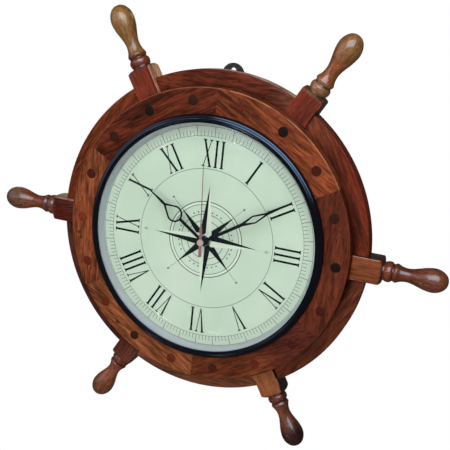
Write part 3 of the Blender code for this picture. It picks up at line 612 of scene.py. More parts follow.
def build_front_ring():
    mesh = board_mesh("front_board", front_radius, joint_line, front_back, front_face)
    holes = [circle(plug_radius + plug_gap, 40, *polar(plug_circle, angle))
             for angle in plug_angles]
    mesh = cut(mesh, holes, front_face - plug_depth, front_face + past, 40)
    looks = (
        # middle tone, worn rim's tone, contrast, figure and knots as (right, up, radius) in mm;
        # the rim's tone on the two top boards is set paler as painted highlight over the wear
        ((101, 47, 24), (136, 88, 62), 1.15, 1.0),
        ((78, 33, 19), (92, 44, 30), 0.85, 0.5),
        ((67, 28, 19), (82, 38, 27), 0.90, 0.6),
        ((109, 60, 35), (104, 58, 36), 1.10, 1.0, (22, 129, 1.6)),
        ((107, 55, 32), (100, 52, 32), 1.10, 1.0, (-16, 131, 1.5), (-21, 128, 1.1)),
        ((70, 27, 14), (112, 66, 46), 1.25, 0.9),
    )
    fades = {2: (1, -28 * mm, -4 * mm, tones((88, 41, 21)))}
    for index, (middle, worn, contrast, figure, *knots) in enumerate(looks):
        number = index + 1
        material = wood(f"front_wood_{number}", tones(middle, contrast), seed=index * 1.7,
                        figure=figure, knots=in_mm(*knots), side=fades.get(index))
        edge = wear_and_highlight_edge(f"front_edge_{number}", middle, worn, index)
        piece(f"front_board_{number}", mesh, [material, edge, material], "front_wood",
              f"front_felloe_{number}", turn=spoke_turn(index), height=0.0)


def build_plugs():
    top, foot = 0.12 * mm, -plug_depth * 0.96
    mesh = turned("plug_top", [(0, foot), (plug_radius, foot), (plug_radius, -0.10 * mm),
                               (plug_radius * 0.94, top * 0.6), (plug_radius * 0.6, top),
                               (0, top)], 40)
    colours = {"black": (22, 15, 10), "brown": (46, 21, 14), "dark": (60, 22, 15),
               "red": (84, 32, 19), "bright": (108, 42, 25)}
    kinds = ("red black dark brown black dark dark red dark red brown red red bright dark "
             "brown black brown")
    for index, kind in enumerate(kinds.split()):
        number = index + 1
        board, place = divmod(index, len(plug_angles))
        turn = spoke_turn(board) + plug_angles[place]
        right, up = polar(plug_circle, turn)
        material = end_grain(f"plug_wood_{number}", tones(colours[kind], 0.5), index * 0.37)
        piece(f"plug_top_{number}", mesh, material, "plug_wood", f"plug_{number}", turn=turn,
              right=right, up=up, height=front_face)


def build_main_ring():
    mesh = board_mesh("main_board", main_radius, block_width / 2 + 0.1 * mm,
                      main_back, main_front)
    # Painted highlight: a pale tone for the top board's outer wall, where light from above falls
    # on it
    wear_and_highlight = wear_and_highlight_edge("main_wall_painted_highlight", (112, 68, 52), (140, 112, 100), 3.3)
    looks = (((84, 31, 16), 0.85), ((85, 40, 24), 0.8), ((99, 57, 40), 0.8),
             ((60, 30, 24), 0.9), ((89, 39, 18), 1.2), ((72, 28, 14), 1.3))
    fades = {0: (-1, 28 * mm, 52 * mm, tones((98, 47, 28))),
             5: (1, 40 * mm, 60 * mm, tones((95, 49, 35)))}
    # Boards that get painted shade along the front ring, as (end it darkens towards, radius)
    corners = {0: (1, front_radius), 1: (-1, front_radius)}
    for index, (middle, contrast) in enumerate(looks):
        number = index + 1
        material = wood(f"main_wood_{number}", tones(middle, contrast), seed=11 + index * 2.3,
                        figure=0.5, side=fades.get(index), painted_shade=corners.get(index))
        worn = [value * 1.15 for value in middle]
        edge = wear_and_highlight_edge(f"main_edge_{number}", middle, worn, 7 + index)
        # The top board's outer wall gets the painted highlight
        wall = wear_and_highlight if index == 5 else material
        piece(f"main_board_{number}", mesh, [material, edge, wall], "main_wood",
              f"main_felloe_{number}", turn=spoke_turn(index + 0.5), height=0.0)


# Spokes

# Distance from the wheel's centre and radius of the turned grip
grip_points = in_mm(
    (167.4, 8.6), (168.6, 8.5), (170.0, 9.2), (172.3, 9.6), (174.6, 9.2), (175.9, 8.0),
    (177.0, 7.9), (178.4, 8.6), (179.6, 8.8), (181.0, 8.2), (184.0, 7.0), (188.5, 6.3),
    (193.0, 6.7), (198.5, 8.1), (204.5, 9.9), (211.5, 11.0), (216.5, 10.5), (220.5, 8.9),
    (223.5, 6.6), (225.3, 3.8), (225.9, 1.4))
block_start = front_radius + 0.3 * mm
block_end = block_start + 22.8 * mm
grip_start = front_radius + 28.1 * mm
bead_start = grip_start - 2 * mm
vase_start = grip_start + 12.4 * mm
bulb_start = grip_start + 36 * mm


def spoke_profile():
    """(distance, radius) of the turning, from the tenon's end to the grip's tip."""
    corner = block_width * math.sqrt(2) / 2 + 0.4 * mm
    neck, neck_radius = grip_points[0]
    points = [(ring_bore, corner), (block_end, corner)]
    steps = 10
    for step in range(1, steps):
        turn = math.pi / 2 * step / steps
        points.append((block_end + (neck - block_end) * math.sin(turn),
                       neck_radius + (corner - neck_radius) * math.cos(turn)))
    return points + smooth_line(grip_points, 4)


def spoke_mesh():
    """A turned bar met by a square one, so the shoulder's arches are cut as on a lathe."""
    builder = bmesh.new()
    rings = [[builder.verts.new((z, -x, distance)) for x, z in circle(radius, 72)]
             for distance, radius in spoke_profile()]
    rings.append([builder.verts.new((0, 0, tip_radius))])
    builder.faces.new(rings[0])
    for ring, following in zip(rings, rings[1:]):
        join_rings(builder, ring, following)
    turning = finish_mesh(builder, "spoke_turning")
    half = block_width / 2
    block = bmesh.new()
    add_prism(block, rectangle(-half, half, block_start, tip_radius + past), -half, half)
    long_edges = [edge for edge in block.edges
                  if abs(edge.verts[0].co.z - edge.verts[1].co.z) > 1 * mm]
    bmesh.ops.bevel(block, geom=long_edges, offset=0.8 * mm, segments=3, profile=0.5,
                    affect='EDGES')
    grip = boolean(turning, finish_mesh(block, "square"), 'INTERSECT')
    tenon_half = (main_front - main_back) / 2
    tenon = prism("tenon", [rectangle(-half, half, ring_bore, block_start + past)],
                  -tenon_half, tenon_half)
    return boolean(grip, tenon, 'UNION')


def build_spokes():
    mesh = spoke_mesh()
    looks = (
        # middle tones of block, beads, vase and bulb, and (direction, tone) of a side face whose
        # tone
        # is painted light: the pale ones painted highlight, the dark ones painted shade
        ((94, 26, 4), (118, 81, 55), (116, 65, 35), (118, 80, 46), (1, (50, 22, 17))),
        ((103, 48, 15), (96, 46, 22), (85, 41, 23), (95, 54, 36), (-1, (50, 24, 19))),
        ((117, 64, 30), (83, 41, 27), (96, 53, 36), (41, 19, 15), (-1, (30, 17, 15))),
        ((75, 32, 19), (89, 42, 28), (111, 61, 41), (93, 52, 30), None),
        ((67, 17, 5), (94, 50, 41), (104, 49, 26), (98, 67, 48), (1, (146, 120, 104))),
        ((105, 33, 2), (103, 49, 25), (116, 81, 43), (120, 86, 44), (1, (184, 136, 104))),
    )
    starts = (bead_start, vase_start, bulb_start)
    fades = (1.5 * mm, 1.5 * mm, 7 * mm)
    for index, (block_tone, *zone_tones, side) in enumerate(looks):
        number = index + 1
        zones = [(start, fade, tones(tone, 0.62))
                 for start, fade, tone in zip(starts, fades, zone_tones)]
        # Painted light on one side face of the block: paler tones are painted highlight, darker
        # ones painted shade
        if side:
            side = (side[0], block_width / 2 - 0.9 * mm, block_width / 2 - 0.5 * mm,
                    tones(side[1], 0.8))
        wear_and_highlight = linear(*(value * 1.2 + 22 for value in block_tone))
        material = wood(f"spoke_wood_{number}", tones(block_tone, 0.62), zones, 'Z',
                        31 + index * 1.9, figure=0.6, gloss=0.24, sheen=0.4, burnt=True,
                        side=side, wear_and_highlight=wear_and_highlight)
        piece(f"spoke_grip_{number}", mesh, material, "spoke_wood", f"spoke_{number}",
              turn=spoke_turn(index), height=spoke_height)


# Rear ring and hanger

plate_low, plate_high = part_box("hanger_plate")
plate_thickness = box_size("hanger_plate", Y)
eye_radius = box_size("hanger_plate", X) / 2 * 1.001
eye_up = plate_high[Z] - eye_radius - centre.z
strap_bottom = plate_low[Z] - centre.z
strap_width = 14.0 * mm
nail_up = -centre.z
nail_radius = 2.5 * mm
screw_ups = [box_middle(f"hanger_screw_{number}", Z) - centre.z for number in (1, 2)]
screw_head = 3.4 * mm


def hanger_outline(grow):
    half = strap_width / 2 + grow
    radius = eye_radius + grow
    meet = math.asin(half / radius)
    corner = 2.5 * mm
    bottom = strap_bottom - grow
    points = arc(corner, math.pi, math.pi * 1.5, 6, -half + corner, bottom + corner)
    points += arc(radius, math.pi + meet, 3 * math.pi - meet, 48, 0.0, eye_up)
    points += arc(corner, math.pi / 2, math.pi, 6, half - corner, bottom + corner)
    return points


def build_rear_ring():
    soft = 0.6 * mm
    mesh = turned("rear_board", [
        (ring_bore, soft), (ring_bore + soft, 0.0), (rear_radius - soft, 0.0),
        (rear_radius - soft * 0.3, soft * 0.3), (rear_radius, soft),
        (rear_radius, rear_thickness), (ring_bore, rear_thickness)], 160)
    mesh = cut(mesh, [hanger_outline(0.2 * mm)], -2 * mm, plate_thickness + 0.2 * mm)
    material = wood("rear_wood", tones((112, 60, 42)), seed=23.0, figure=1.1, gloss=0.5)
    piece("rear_board", mesh, material, "main_wood", "rear_ring", height=0.0)


def build_hanger():
    plate = prism("hanger_strap", [hanger_outline(-0.05 * mm)], 0.0, plate_thickness, 0.3 * mm)
    holes = [circle(nail_radius, 40, 0.0, nail_up)]
    holes += [circle(screw_head, 40, 0.0, up) for up in screw_ups]
    plate = cut(plate, holes, -2 * mm, plate_thickness + 2 * mm)
    enamel = moulded("hanger_enamel", (30, 26, 28), 0.32, 0.25, 900, 0.15,
                     Coat_Weight=0.5, Coat_Roughness=0.15)
    piece("hanger_strap", plate, enamel, "hanger_enamel", "hanger_plate", height=0.0)
    head, half, reach = 1.1 * mm, 0.35 * mm, 1.9 * mm
    screw = turned("screw_head", [(0, 0.12 * mm), (screw_head * 0.62, 0.18 * mm),
                                  (screw_head * 0.96, 0.55 * mm), (screw_head * 0.97, head),
                                  (1.8 * mm, head), (1.6 * mm, 5.2 * mm), (0, 5.5 * mm)], 40)
    recess = rectangle(-reach, reach, -half, half)
    for turn in (0.0, -math.pi / 2):
        screw = cut(screw, [turned_points(recess, turn)], -past, 0.8 * mm)
    zinc = metal("zinc_plate", (188, 186, 178), 0.32)
    for number, up in enumerate(screw_ups, start=1):
        piece(f"hanger_screw_head_{number}", screw, zinc, "screw_steel",
              f"hanger_screw_{number}", turn=math.radians(20 + 31 * number), up=up, height=0.0)


# Clock head

bezel_radius = box_size("bezel", X) / 2
bezel_foot, bezel_crest = heights("bezel")
bezel_inner = 108.5 * mm
lens_radius = box_size("lens", X) / 2
lens_back, lens_crown = heights("lens")
lens_thickness = 1.5 * mm
tray_flange = box_size("tray", X) / 2
tray_back, tray_top = heights("tray")
shaft_hole = 4.3 * mm


def build_bezel():
    """Black section: a lip over the lens, then two rounded steps down to the wood."""
    width = bezel_radius - bezel_inner
    rise = bezel_crest - bezel_foot
    # shares of the width, from the inside, and of the rise
    shares = ((0.00, 0.78), (0.015, 0.84), (0.06, 0.87), (0.20, 0.91), (0.30, 0.96),
              (0.40, 0.995), (0.524, 0.965), (0.595, 0.912), (0.655, 0.83), (0.685, 0.785),
              (0.714, 0.78), (0.798, 0.72), (0.857, 0.638), (0.94, 0.42), (1.00, 0.06))
    section = smooth_line([(bezel_inner + width * across, bezel_foot + rise * up)
                           for across, up in shares], 3)
    foot = bezel_radius - 2.6 * mm
    lip = lens_back + 1.8 * mm
    section += [(bezel_radius, bezel_foot + 0.1 * mm), (bezel_radius - 0.3 * mm, bezel_foot),
                (foot, bezel_foot), (foot, lens_back), (bezel_inner + 4 * mm, lip),
                (bezel_inner, lip)]
    black = moulded("bezel_black", (8, 8, 12), 0.16, 0.03, 700, 0.10, Coat_Weight=0.2,
                    Coat_Roughness=0.08, Specular_Tint=(0.50, 0.72, 1.0, 1.0))
    piece("bezel_ring", turned("bezel_ring", section, 192, 30), black, "bezel_plastic", "bezel")


def build_lens():
    """Dome with a flat crown that bends down late, near its rim."""
    steps = 40
    dome = bezel_inner - 0.5 * mm
    rise = lens_crown - lens_back - lens_thickness
    inner = [(dome * step / steps, lens_back + rise * (1 - (step / steps) ** 3.2) ** 0.82)
             for step in range(steps + 1)]
    outer = [(radius, height + lens_thickness) for radius, height in inner]
    rim = [(lens_radius, lens_back), (lens_radius, lens_back + lens_thickness)]
    mesh = turned("lens_dome", inner + rim + outer[::-1], 160, 50)
    piece("lens_dome", mesh, clear_dome(), "lens_clear", "lens")


def build_tray():
    """White tray: floor behind the dial, leaning wall, lip, flange and rear rim."""
    floor = -dial_thickness - 0.3 * mm
    under = floor - 1.8 * mm
    ridge = floor - 2.6 * mm
    base = dial_radius + 0.2 * mm
    wall = ring_bore - 0.6 * mm
    inside = wall - 1.4 * mm
    flange_low = wood_face + 0.3 * mm
    flange_high = flange_low + 1.2 * mm
    section = [(shaft_hole, floor), (base, floor), (base, 0.0)]
    section += smooth_line([(base, 0.2 * mm), (base + 0.5 * mm, 1.6 * mm),
                            (base + 1.3 * mm, tray_top * 0.55), (bezel_inner, tray_top - 0.4 * mm),
                            (bezel_inner + 0.4 * mm, tray_top)], 3)
    section += [(wall, tray_top), (wall, flange_high), (tray_flange, flange_high),
                (tray_flange, flange_low), (wall, flange_low), (wall, tray_back + 0.5 * mm),
                (wall - 0.5 * mm, tray_back), (inside, tray_back), (inside, under),
                (70 * mm, under), (69.2 * mm, ridge), (68 * mm, ridge), (67.2 * mm, under),
                (shaft_hole, under)]
    plastic = moulded("tray_plastic", (180, 189, 197), 0.34, 0.12, 1300, 0.04)
    piece("tray_shell", turned("tray_shell", section, 160, 30), plastic, "tray_plastic", "tray")


def build_dial():
    mesh = turned("dial_disc", [(shaft_hole, -dial_thickness), (dial_radius, -dial_thickness),
                                (dial_radius, 0.0), (shaft_hole, 0.0)], 160)
    piece("dial_disc", mesh, dial_paper(), "dial_paper", "dial")


# Print on the dial: thin flat shapes in layers just above the card

layers = (0.01 * mm, 0.05 * mm), (0.05 * mm, 0.08 * mm), (0.08 * mm, 0.11 * mm)


def print_piece(name, outlines, ink, layer=0):
    piece(name, prism(name, outlines, *layers[layer]), ink, "dial_paper")


def band(radius, width, sides=180):
    """Quads of a thin ring."""
    inner, outer = (arc(radius + side * width / 2, 0.0, math.tau, sides) for side in (-1, 1))
    return [[inner[step], outer[step], outer[step + 1], inner[step + 1]]
            for step in range(sides)]


def bar(start, end, width):
    """A straight stroke between two points."""
    first, last = Vector(start), Vector(end)
    side = (last - first).normalized().orthogonal()
    return [tuple(first + side * width / 2), tuple(first - side * width / 2),
            tuple(last - side * width / 2), tuple(last + side * width / 2)]


def build_scale(ink):
    inner, outer = 96.1 * mm, 105.1 * mm
    marks = band(inner, 0.34 * mm) + band(outer, 0.42 * mm)
    for degree in range(0, 360, 2):
        if degree % 10 == 0:
            stroke = bar((0.0, inner), (0.0, outer), 0.55 * mm)
        else:
            stroke = bar((0.0, inner), (0.0, inner + 4.8 * mm), 0.46 * mm)
        marks.append(turned_points(stroke, math.radians(degree)))
    print_piece("scale_print", marks, ink)


numeral_foot = 68.4 * mm
numeral_head = 93.2 * mm
thick_stroke = 2.0 * mm
thin_stroke = 0.74 * mm
serif_length = 3.9 * mm
short_serif = serif_length * 0.8
serif_height = 0.75 * mm
stroke_foot, stroke_head = numeral_foot + serif_height, numeral_head - serif_height
letter_step = 6.0 * mm
wide_letter = 6.2 * mm
letter_space = 5.6 * mm


def serif(right, up, length=serif_length, grow=1):
    """A flat serif whose inner side swells into the stroke."""
    half = length / 2
    inner = up + grow * serif_height
    swell = inner + grow * serif_height * 0.6
    edge = up + grow * serif_height * 0.6
    return [(right - half, up), (right + half, up), (right + half, edge),
            (right + thick_stroke * 0.55, swell), (right - thick_stroke * 0.55, swell),
            (right - half, edge)]


def letter_i(right):
    return [bar((right, stroke_foot), (right, stroke_head), thick_stroke),
            serif(right, numeral_foot), serif(right, numeral_head, grow=-1)]


def letter_v(left):
    """Thick first stroke and thin second one that meet in a point at the foot."""
    middle = left + wide_letter / 2
    right = left + wide_letter
    return [[(left - thick_stroke / 2, stroke_head), (left + thick_stroke / 2, stroke_head),
             (middle + thick_stroke * 0.35, numeral_foot),
             (middle - thick_stroke * 0.1, numeral_foot)],
            bar((right, stroke_head), (middle + thin_stroke * 0.3, numeral_foot), thin_stroke),
            serif(left, numeral_head, grow=-1), serif(right, numeral_head, short_serif, -1)]


def letter_x(left):
    right = left + wide_letter
    return [bar((left, stroke_head), (right, stroke_foot), thick_stroke),
            bar((right, stroke_head), (left, stroke_foot), thin_stroke),
            serif(left, numeral_head, grow=-1), serif(right, numeral_foot),
            serif(right, numeral_head, short_serif, -1),
            serif(left, numeral_foot, short_serif)]


def numeral(word):
    """Outlines of a roman numeral, centred on the upward direction."""
    letters = {"I": (letter_i, 0.0), "V": (letter_v, wide_letter), "X": (letter_x, wide_letter)}
    outlines = []
    place = 0.0
    for letter, following in zip(word, word[1:] + " "):
        draw, width = letters[letter]
        outlines += draw(place)
        step = letter_step if letter == following == "I" else letter_space
        place += width + (0.0 if following == " " else step)
    return [[(right - place / 2, up) for right, up in outline] for outline in outlines]


def build_numerals(ink):
    outlines = []
    for hour, word in enumerate("XII I II III IV V VI VII VIII IX X XI".split()):
        outlines += [turned_points(outline, math.tau * hour / 12) for outline in numeral(word)]
    print_piece("numeral_print", outlines, ink)


def build_rose(dark, pale, line_ink):
    """Traditional eight-pointed compass rose: split long points over plain short ones."""
    long_point, short_point = 52.3 * mm, 37.6 * mm
    waist, short_waist, short_place = 5.9 * mm, 3.1 * mm, 9.6 * mm
    straight = [math.radians(90 * quarter) for quarter in range(4)]
    slanted = [math.radians(45 + 90 * quarter) for quarter in range(4)]
    lines = []
    # radius and width of each fine circle
    for radius, width in in_mm((36.4, 0.85), (33.4, 0.52), (24.4, 0.62), (18.3, 0.62)):
        lines += band(radius, width, 120)
    print_piece("rose_pale_ring", band(35.0 * mm, 1.5 * mm, 120), pale)
    for degree in range(0, 360, 10):
        if degree % 90 not in (0, 40, 50):
            lines.append(circle(0.8 * mm, 10, *polar(27.0 * mm, math.radians(degree))))
    for angle in slanted:
        lines.append(turned_points(bar((0, short_point), (0, 49.0 * mm), 0.32 * mm), angle))
        lines.append(circle(1.0 * mm, 14, *polar(49.8 * mm, angle)))
    lines += band(66.7 * mm, 0.45 * mm)
    print_piece("rose_lines", lines, line_ink)

    def points(outline, angles):
        return [turned_points(outline, angle) for angle in angles]

    short = [(0, 4 * mm), (-short_waist, short_place), (0, short_point),
             (short_waist, short_place)]
    print_piece("rose_short_points", points(short, slanted), dark, 1)
    dark_half = [(0, 0), (-waist, waist), (0, long_point)]
    pale_half = [(0, 0), (0, long_point), (waist, waist)]
    print_piece("rose_long_points", points(dark_half, straight), dark, 2)
    print_piece("rose_pale_points", points(pale_half, straight), pale, 2)


def build_side_marks(ink):
    """Plain small lozenges beside the east and west points."""
    lozenge = in_mm((0, 58.5), (-1.6, 61), (0, 63.5), (1.6, 61))
    print_piece("side_marks", [turned_points(lozenge, turn)
                               for turn in (math.pi / 2, -math.pi / 2)], ink)


def build_print():
    black_ink = moulded("ink_black", (14, 20, 17), 0.5, 0.05, 2500, 0.10,
                        Specular_IOR_Level=0.05)
    green_ink = moulded("ink_green_grey", (74, 90, 78), 0.5, 0.05, 2500, 0.10)
    pale_ink = moulded("ink_pale", (216, 233, 215), 0.5, 0.05, 2500, 0.03)
    grey_ink = moulded("ink_grey", (158, 176, 162), 0.5, 0.05, 2500, 0.05)
    build_scale(green_ink)
    build_numerals(black_ink)
    build_rose(black_ink, pale_ink, green_ink)
    build_side_marks(grey_ink)


# Hands

blade_edge = 0.12 * mm


def hand_angle(node):
    """Clockwise angle of a hand from its CAD node's furthest corner."""
    obj = frame["nodes"][node]
    points = [obj.matrix_world @ vertex.co for vertex in obj.data.vertices]
    tip = max(points, key=lambda p: math.hypot(p.x - centre.x, p.z - centre.z))
    return math.atan2(tip.x - centre.x, tip.z - centre.z)


def pear(centre_up, radius, point_up, hollow):
    """Right side of a pear loop whose flanks curve in towards its point."""
    side = arc(radius, math.pi, math.radians(75), 20, 0.0, centre_up)
    from_right, from_up = side[-1]
    bend = (from_right * 0.62, from_up + (point_up - from_up) * 0.42)
    return side[:-1] + smooth_line([side[-2], side[-1], bend, (hollow, point_up)], 5)[5:]


def build_blade(name, right_side, holes, lacquer, node, body):
    """A flat lacquered hand from its outline's right side, with its holes cut out."""
    back, front = heights(node)
    blank = prism(name, [with_left_side(right_side)], back, front, blade_edge)
    mesh = cut(blank, holes, back - past, front + past)
    piece(name, mesh, lacquer, "hand_black", node, body, hand_angle(node))


def build_hour_hand(lacquer):
    hub, stem, tip = 4.6 * mm, 1.45 * mm, 67.4 * mm
    loop_up, loop_radius, point = 37.2 * mm, 8.1 * mm, 51.5 * mm
    right = arc(hub, math.pi, math.asin(stem / hub), 24)
    outer = pear(loop_up, loop_radius, point - 1.0 * mm, 1.0 * mm)
    start = next(index for index, place in enumerate(outer) if place[0] > stem)
    right += [(stem, outer[start][1] - 0.4 * mm)] + outer[start:]
    right += [(1.4 * mm, point + 1.2 * mm), (1.2 * mm, point + 3.0 * mm), (0.5 * mm, tip)]
    inner = with_left_side(pear(loop_up, loop_radius - 1.6 * mm, point - 3.2 * mm, 0.0))
    build_blade("hour_blade", right, [inner, circle(2.75 * mm, 32)], lacquer,
                "hour_hand", "hour_body")


def build_minute_hand(lacquer):
    hub, stem = 3.8 * mm, 1.4 * mm
    right = arc(hub, math.pi, math.asin(stem / hub), 24)
    right += in_mm((1.4, 44.6), (3.85, 57.1), (1.2, 70.8), (1.15, 74), (0.55, 92.4))
    diamond = in_mm((0.0, 48.2), (2.5, 57.1), (0.0, 68.2), (-2.5, 57.1))
    build_blade("minute_blade", right, [diamond, circle(1.75 * mm, 32)], lacquer,
                "minute_hand", "minute_body")


def build_second_hand():
    back, front = heights("second_hand")
    plate = back + 0.4 * mm
    right = arc(1.5 * mm, math.pi, math.pi / 2, 8, 0.0, -12.4 * mm)
    right += in_mm((1.35, -3), (1.4, 3), (1.3, 11), (0.48, 19), (0.30, 71.5))
    blade = prism("sweep_blade", [with_left_side(right)], plate, plate + 0.4 * mm, 0.08 * mm)
    red = moulded("hand_red", (146, 98, 101), 0.38, 0.05, 900, 0.05, Coat_Weight=0.2)
    turn = hand_angle("second_hand")
    piece("sweep_blade", blade, red, "hand_red", "second_hand", "second_body", turn)
    radius = 3.1 * mm
    cap = turned("sweep_hub", [(0.0, back), (radius * 0.9, back), (radius, back + 0.3 * mm),
                               (radius, front - 0.35 * mm), (radius * 0.9, front - 0.08 * mm),
                               (radius * 0.34, front), (radius * 0.30, front - 0.15 * mm),
                               (radius * 0.12, front - 0.15 * mm), (0.0, front - 0.05 * mm)], 64)
    cream = moulded("hub_cream", (188, 162, 150), 0.30, 0.04, 900, 0.03, Coat_Weight=0.3)
    piece("sweep_hub", cap, cream, "hand_red", None, "second_body", turn)


def build_nut():
    back, front = heights("fixing_nut")
    flats = box_size("fixing_nut", X) / 2
    hexagon = prism("nut", [circle(flats / math.cos(math.pi / 6), 6)], back, front)
    round_cut = turned("round", [(0.0, back - past), (flats * 1.12, back - past),
                                 (flats * 1.12, front - 0.6 * mm), (flats * 0.94, front),
                                 (0.0, front)], 64)
    mesh = boolean(hexagon, round_cut, 'INTERSECT')
    mesh = cut(mesh, [circle(4.25 * mm, 40)], back - past, front + past)
    piece("bush_nut", mesh, metal("nut_nickel", (206, 204, 192), 0.28), "nut_metal", "fixing_nut")


# Movement, seen from behind

case_half = box_size("movement_case", X) / 2
case_back, bush_front = heights("movement_case")
case_bottom, case_top = (corner[Z] - centre.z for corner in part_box("movement_case"))
case_wall = 1.2 * mm
case_corner = 2.0 * mm
cover_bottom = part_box("movement_cover")[0][Z] - centre.z
cover_back, cover_front = heights("movement_cover")
knob_back = heights("setting_knob")[0]
knob_joint = next(joint for joint in frame["joints"] if joint["name"] == "setting_knob_turn")
knob_right = knob_joint["pos_m"][X]


def build_case(plastic):
    """Box with rounded corners, an open cell bay below the closed train chamber, and the bush."""
    front = -dial_thickness - 2.4 * mm
    inside = front - case_wall
    inner = case_half - case_wall
    mesh = prism("movement_box", [rounded_box(-case_half, case_half, case_bottom, case_top,
                                              case_corner)], case_back, front)
    rooms = [rounded_box(-inner, inner, cover_bottom + case_wall, case_top - case_wall, 1.0 * mm),
             rounded_box(-inner, inner, case_bottom + case_wall, cover_bottom, 1.0 * mm)]
    mesh = cut(mesh, rooms, case_back - past, inside)
    bore, radius = 3.1 * mm, 4.0 * mm
    bush = turned("bush", [(bore, inside), (radius, inside), (radius, bush_front - 0.3 * mm),
                           (3.8 * mm, bush_front), (bore, bush_front)], 64)
    mesh = cut(mesh, [circle(3.5 * mm, 40)], front - 3 * mm, front + past)
    piece("movement_box", mesh, plastic, "movement_plastic", "movement_case")
    piece("movement_bush", bush, plastic, "movement_plastic")


def build_cover(plastic):
    """Rear cover with a hole for the knob's arbor, a raised frame and three short ribs."""
    plate = prism("cover_plate", [rounded_box(-case_half, case_half, cover_bottom, case_top,
                                              case_corner)], cover_back + 0.5 * mm, cover_front)
    plate = cut(plate, [circle(1.3 * mm, 32, knob_right, 0.0)], cover_back - 2 * mm,
                cover_front + past)
    piece("cover_plate", plate, plastic, "movement_plastic", "movement_cover")
    inset, rib = 3.0 * mm, 0.8 * mm
    side = case_half - inset
    bottom, top = cover_bottom + inset, case_top - inset
    ribs = [rectangle(-side, side, top - rib, top), rectangle(-side, side, bottom, bottom + rib),
            rectangle(-side, -side + rib, bottom, top), rectangle(side - rib, side, bottom, top)]
    for inwards in (8 * mm, 11 * mm, 14 * mm):
        left = inwards - case_half
        ribs.append(rectangle(left, left + 1.2 * mm, 6 * mm, 18 * mm))
    mesh = prism("cover_ribs", ribs, cover_back, cover_back + 0.6 * mm)
    piece("cover_ribs", mesh, plastic, "movement_plastic")


def build_knob(plastic):
    """Setting knob with scalloped rim, and its arbor inside the case."""
    radius, length, scallops, depth = 6.5 * mm, 4.0 * mm, 20, 0.5 * mm
    turns = [math.tau * step / (scallops * 6) for step in range(scallops * 6)]
    outline = [polar(radius - depth + depth * abs(math.sin(turn * scallops / 2)), turn)
               for turn in turns]
    grip = prism("knob_grip", [outline], knob_back, knob_back + length)
    dish = turned("dish", [(0.0, knob_back - past), (4.4 * mm, knob_back - past),
                           (4.0 * mm, knob_back + 0.9 * mm), (0.0, knob_back + 0.9 * mm)], 48)
    piece("knob_grip", boolean(grip, dish), plastic, "movement_plastic", None, "setting_body",
          right=knob_right)
    start, end, thin = knob_back + length * 0.5, knob_back + 12 * mm, 0.9 * mm
    arbor = turned("knob_arbor", [(0.0, start), (thin, start), (thin, end), (0.0, end)], 32)
    piece("knob_arbor", arbor, plastic, "movement_plastic", "setting_knob", "setting_body",
          right=knob_right)


def build_cell():
    """Plain cell with a crimped jacket and a cap, between two contact plates."""
    radius = box_size("battery_cell", Z) / 2
    cap_radius, cap_height, crimp = 2.9 * mm, 1.0 * mm, 0.6 * mm
    half = (box_size("battery_cell", X) - cap_height) / 2
    place = {"up": box_middle("battery_cell", Z) - centre.z,
             "height": -box_middle("battery_cell", Y)}
    outline = [(0.0, -half), (radius - 1.4 * mm, -half), (radius - 0.5 * mm, -half + 0.05 * mm),
               (radius, -half + crimp), (radius, half - crimp),
               (radius - 0.5 * mm, half - 0.05 * mm), (radius - 1.6 * mm, half - 0.1 * mm),
               (cap_radius, half - 0.1 * mm), (2.7 * mm, half + 0.8 * mm),
               (2.3 * mm, half + cap_height), (0.0, half + cap_height)]
    mesh = turned("cell_body", outline, 64, 30)
    for vertex in mesh.vertices:
        # laid from Y along X
        vertex.co = (-vertex.co.y, vertex.co.x, vertex.co.z)
    piece("cell_body", mesh, cell_jacket(), "cell_jacket", "battery_cell", **place)
    steel = metal("contact_steel", (196, 194, 186), 0.25)
    plate = 0.3 * mm
    for name, left in (("contact_plus", case_half - case_wall - plate),
                       ("contact_minus", -case_half + case_wall)):
        mesh = prism(name, [rectangle(left, left + plate, -5 * mm, 5 * mm)], -4 * mm, 4 * mm)
        piece(name, mesh, steel, "screw_steel", **place)


def build_movement():
    plastic = moulded("movement_black", (34, 34, 37), 0.42, 0.3, 1100, 0.08)
    build_case(plastic)
    build_cover(plastic)
    build_knob(plastic)
    build_cell()
    white = moulded("wheel_white", (226, 222, 206), 0.35, 0.05, 1200, 0.03)
    kept = {f"{wheel}_wheel": white for wheel in ("hour", "centre", "third", "seconds", "fifth")}
    kept["stator"] = metal("stator_steel", (170, 170, 166), 0.35)
    kept["rotor"] = metal("rotor_magnet", (92, 92, 96), 0.4)
    kept["coil"] = metal("coil_copper", (186, 104, 62), 0.3, (3000, 300, 300))
    for node, material in kept.items():
        for material_slot in frame["nodes"][node].material_slots:
            material_slot.material = material


# Stage, lights and camera

floor_drop, floor_reach = 1.2, 3.0
spot_radius, spot_power = 0.05, 1.4
spot_places = ((-0.88, -1.27, 0.30), (-0.68, -1.32, 0.52), (-0.31, -1.44, 0.54),
               (0.19, -1.30, 0.90), (-0.71, -1.03, -0.99), (-0.30, -1.15, -1.04))


def white_to_camera(tree, output, lit_shader, white_kind):
    """The camera sees plain white; every other ray sees lit_shader."""
    white = tree.nodes.new(white_kind)
    white.inputs["Color"].default_value = (1, 1, 1, 1)
    path = tree.nodes.new("ShaderNodeLightPath")
    mix = tree.nodes.new("ShaderNodeMixShader")
    tree.links.new(path.outputs["Is Camera Ray"], mix.inputs[0])
    tree.links.new(lit_shader, mix.inputs[1])
    tree.links.new(white.outputs[0], mix.inputs[2])
    tree.links.new(mix.outputs[0], output.inputs["Surface"])


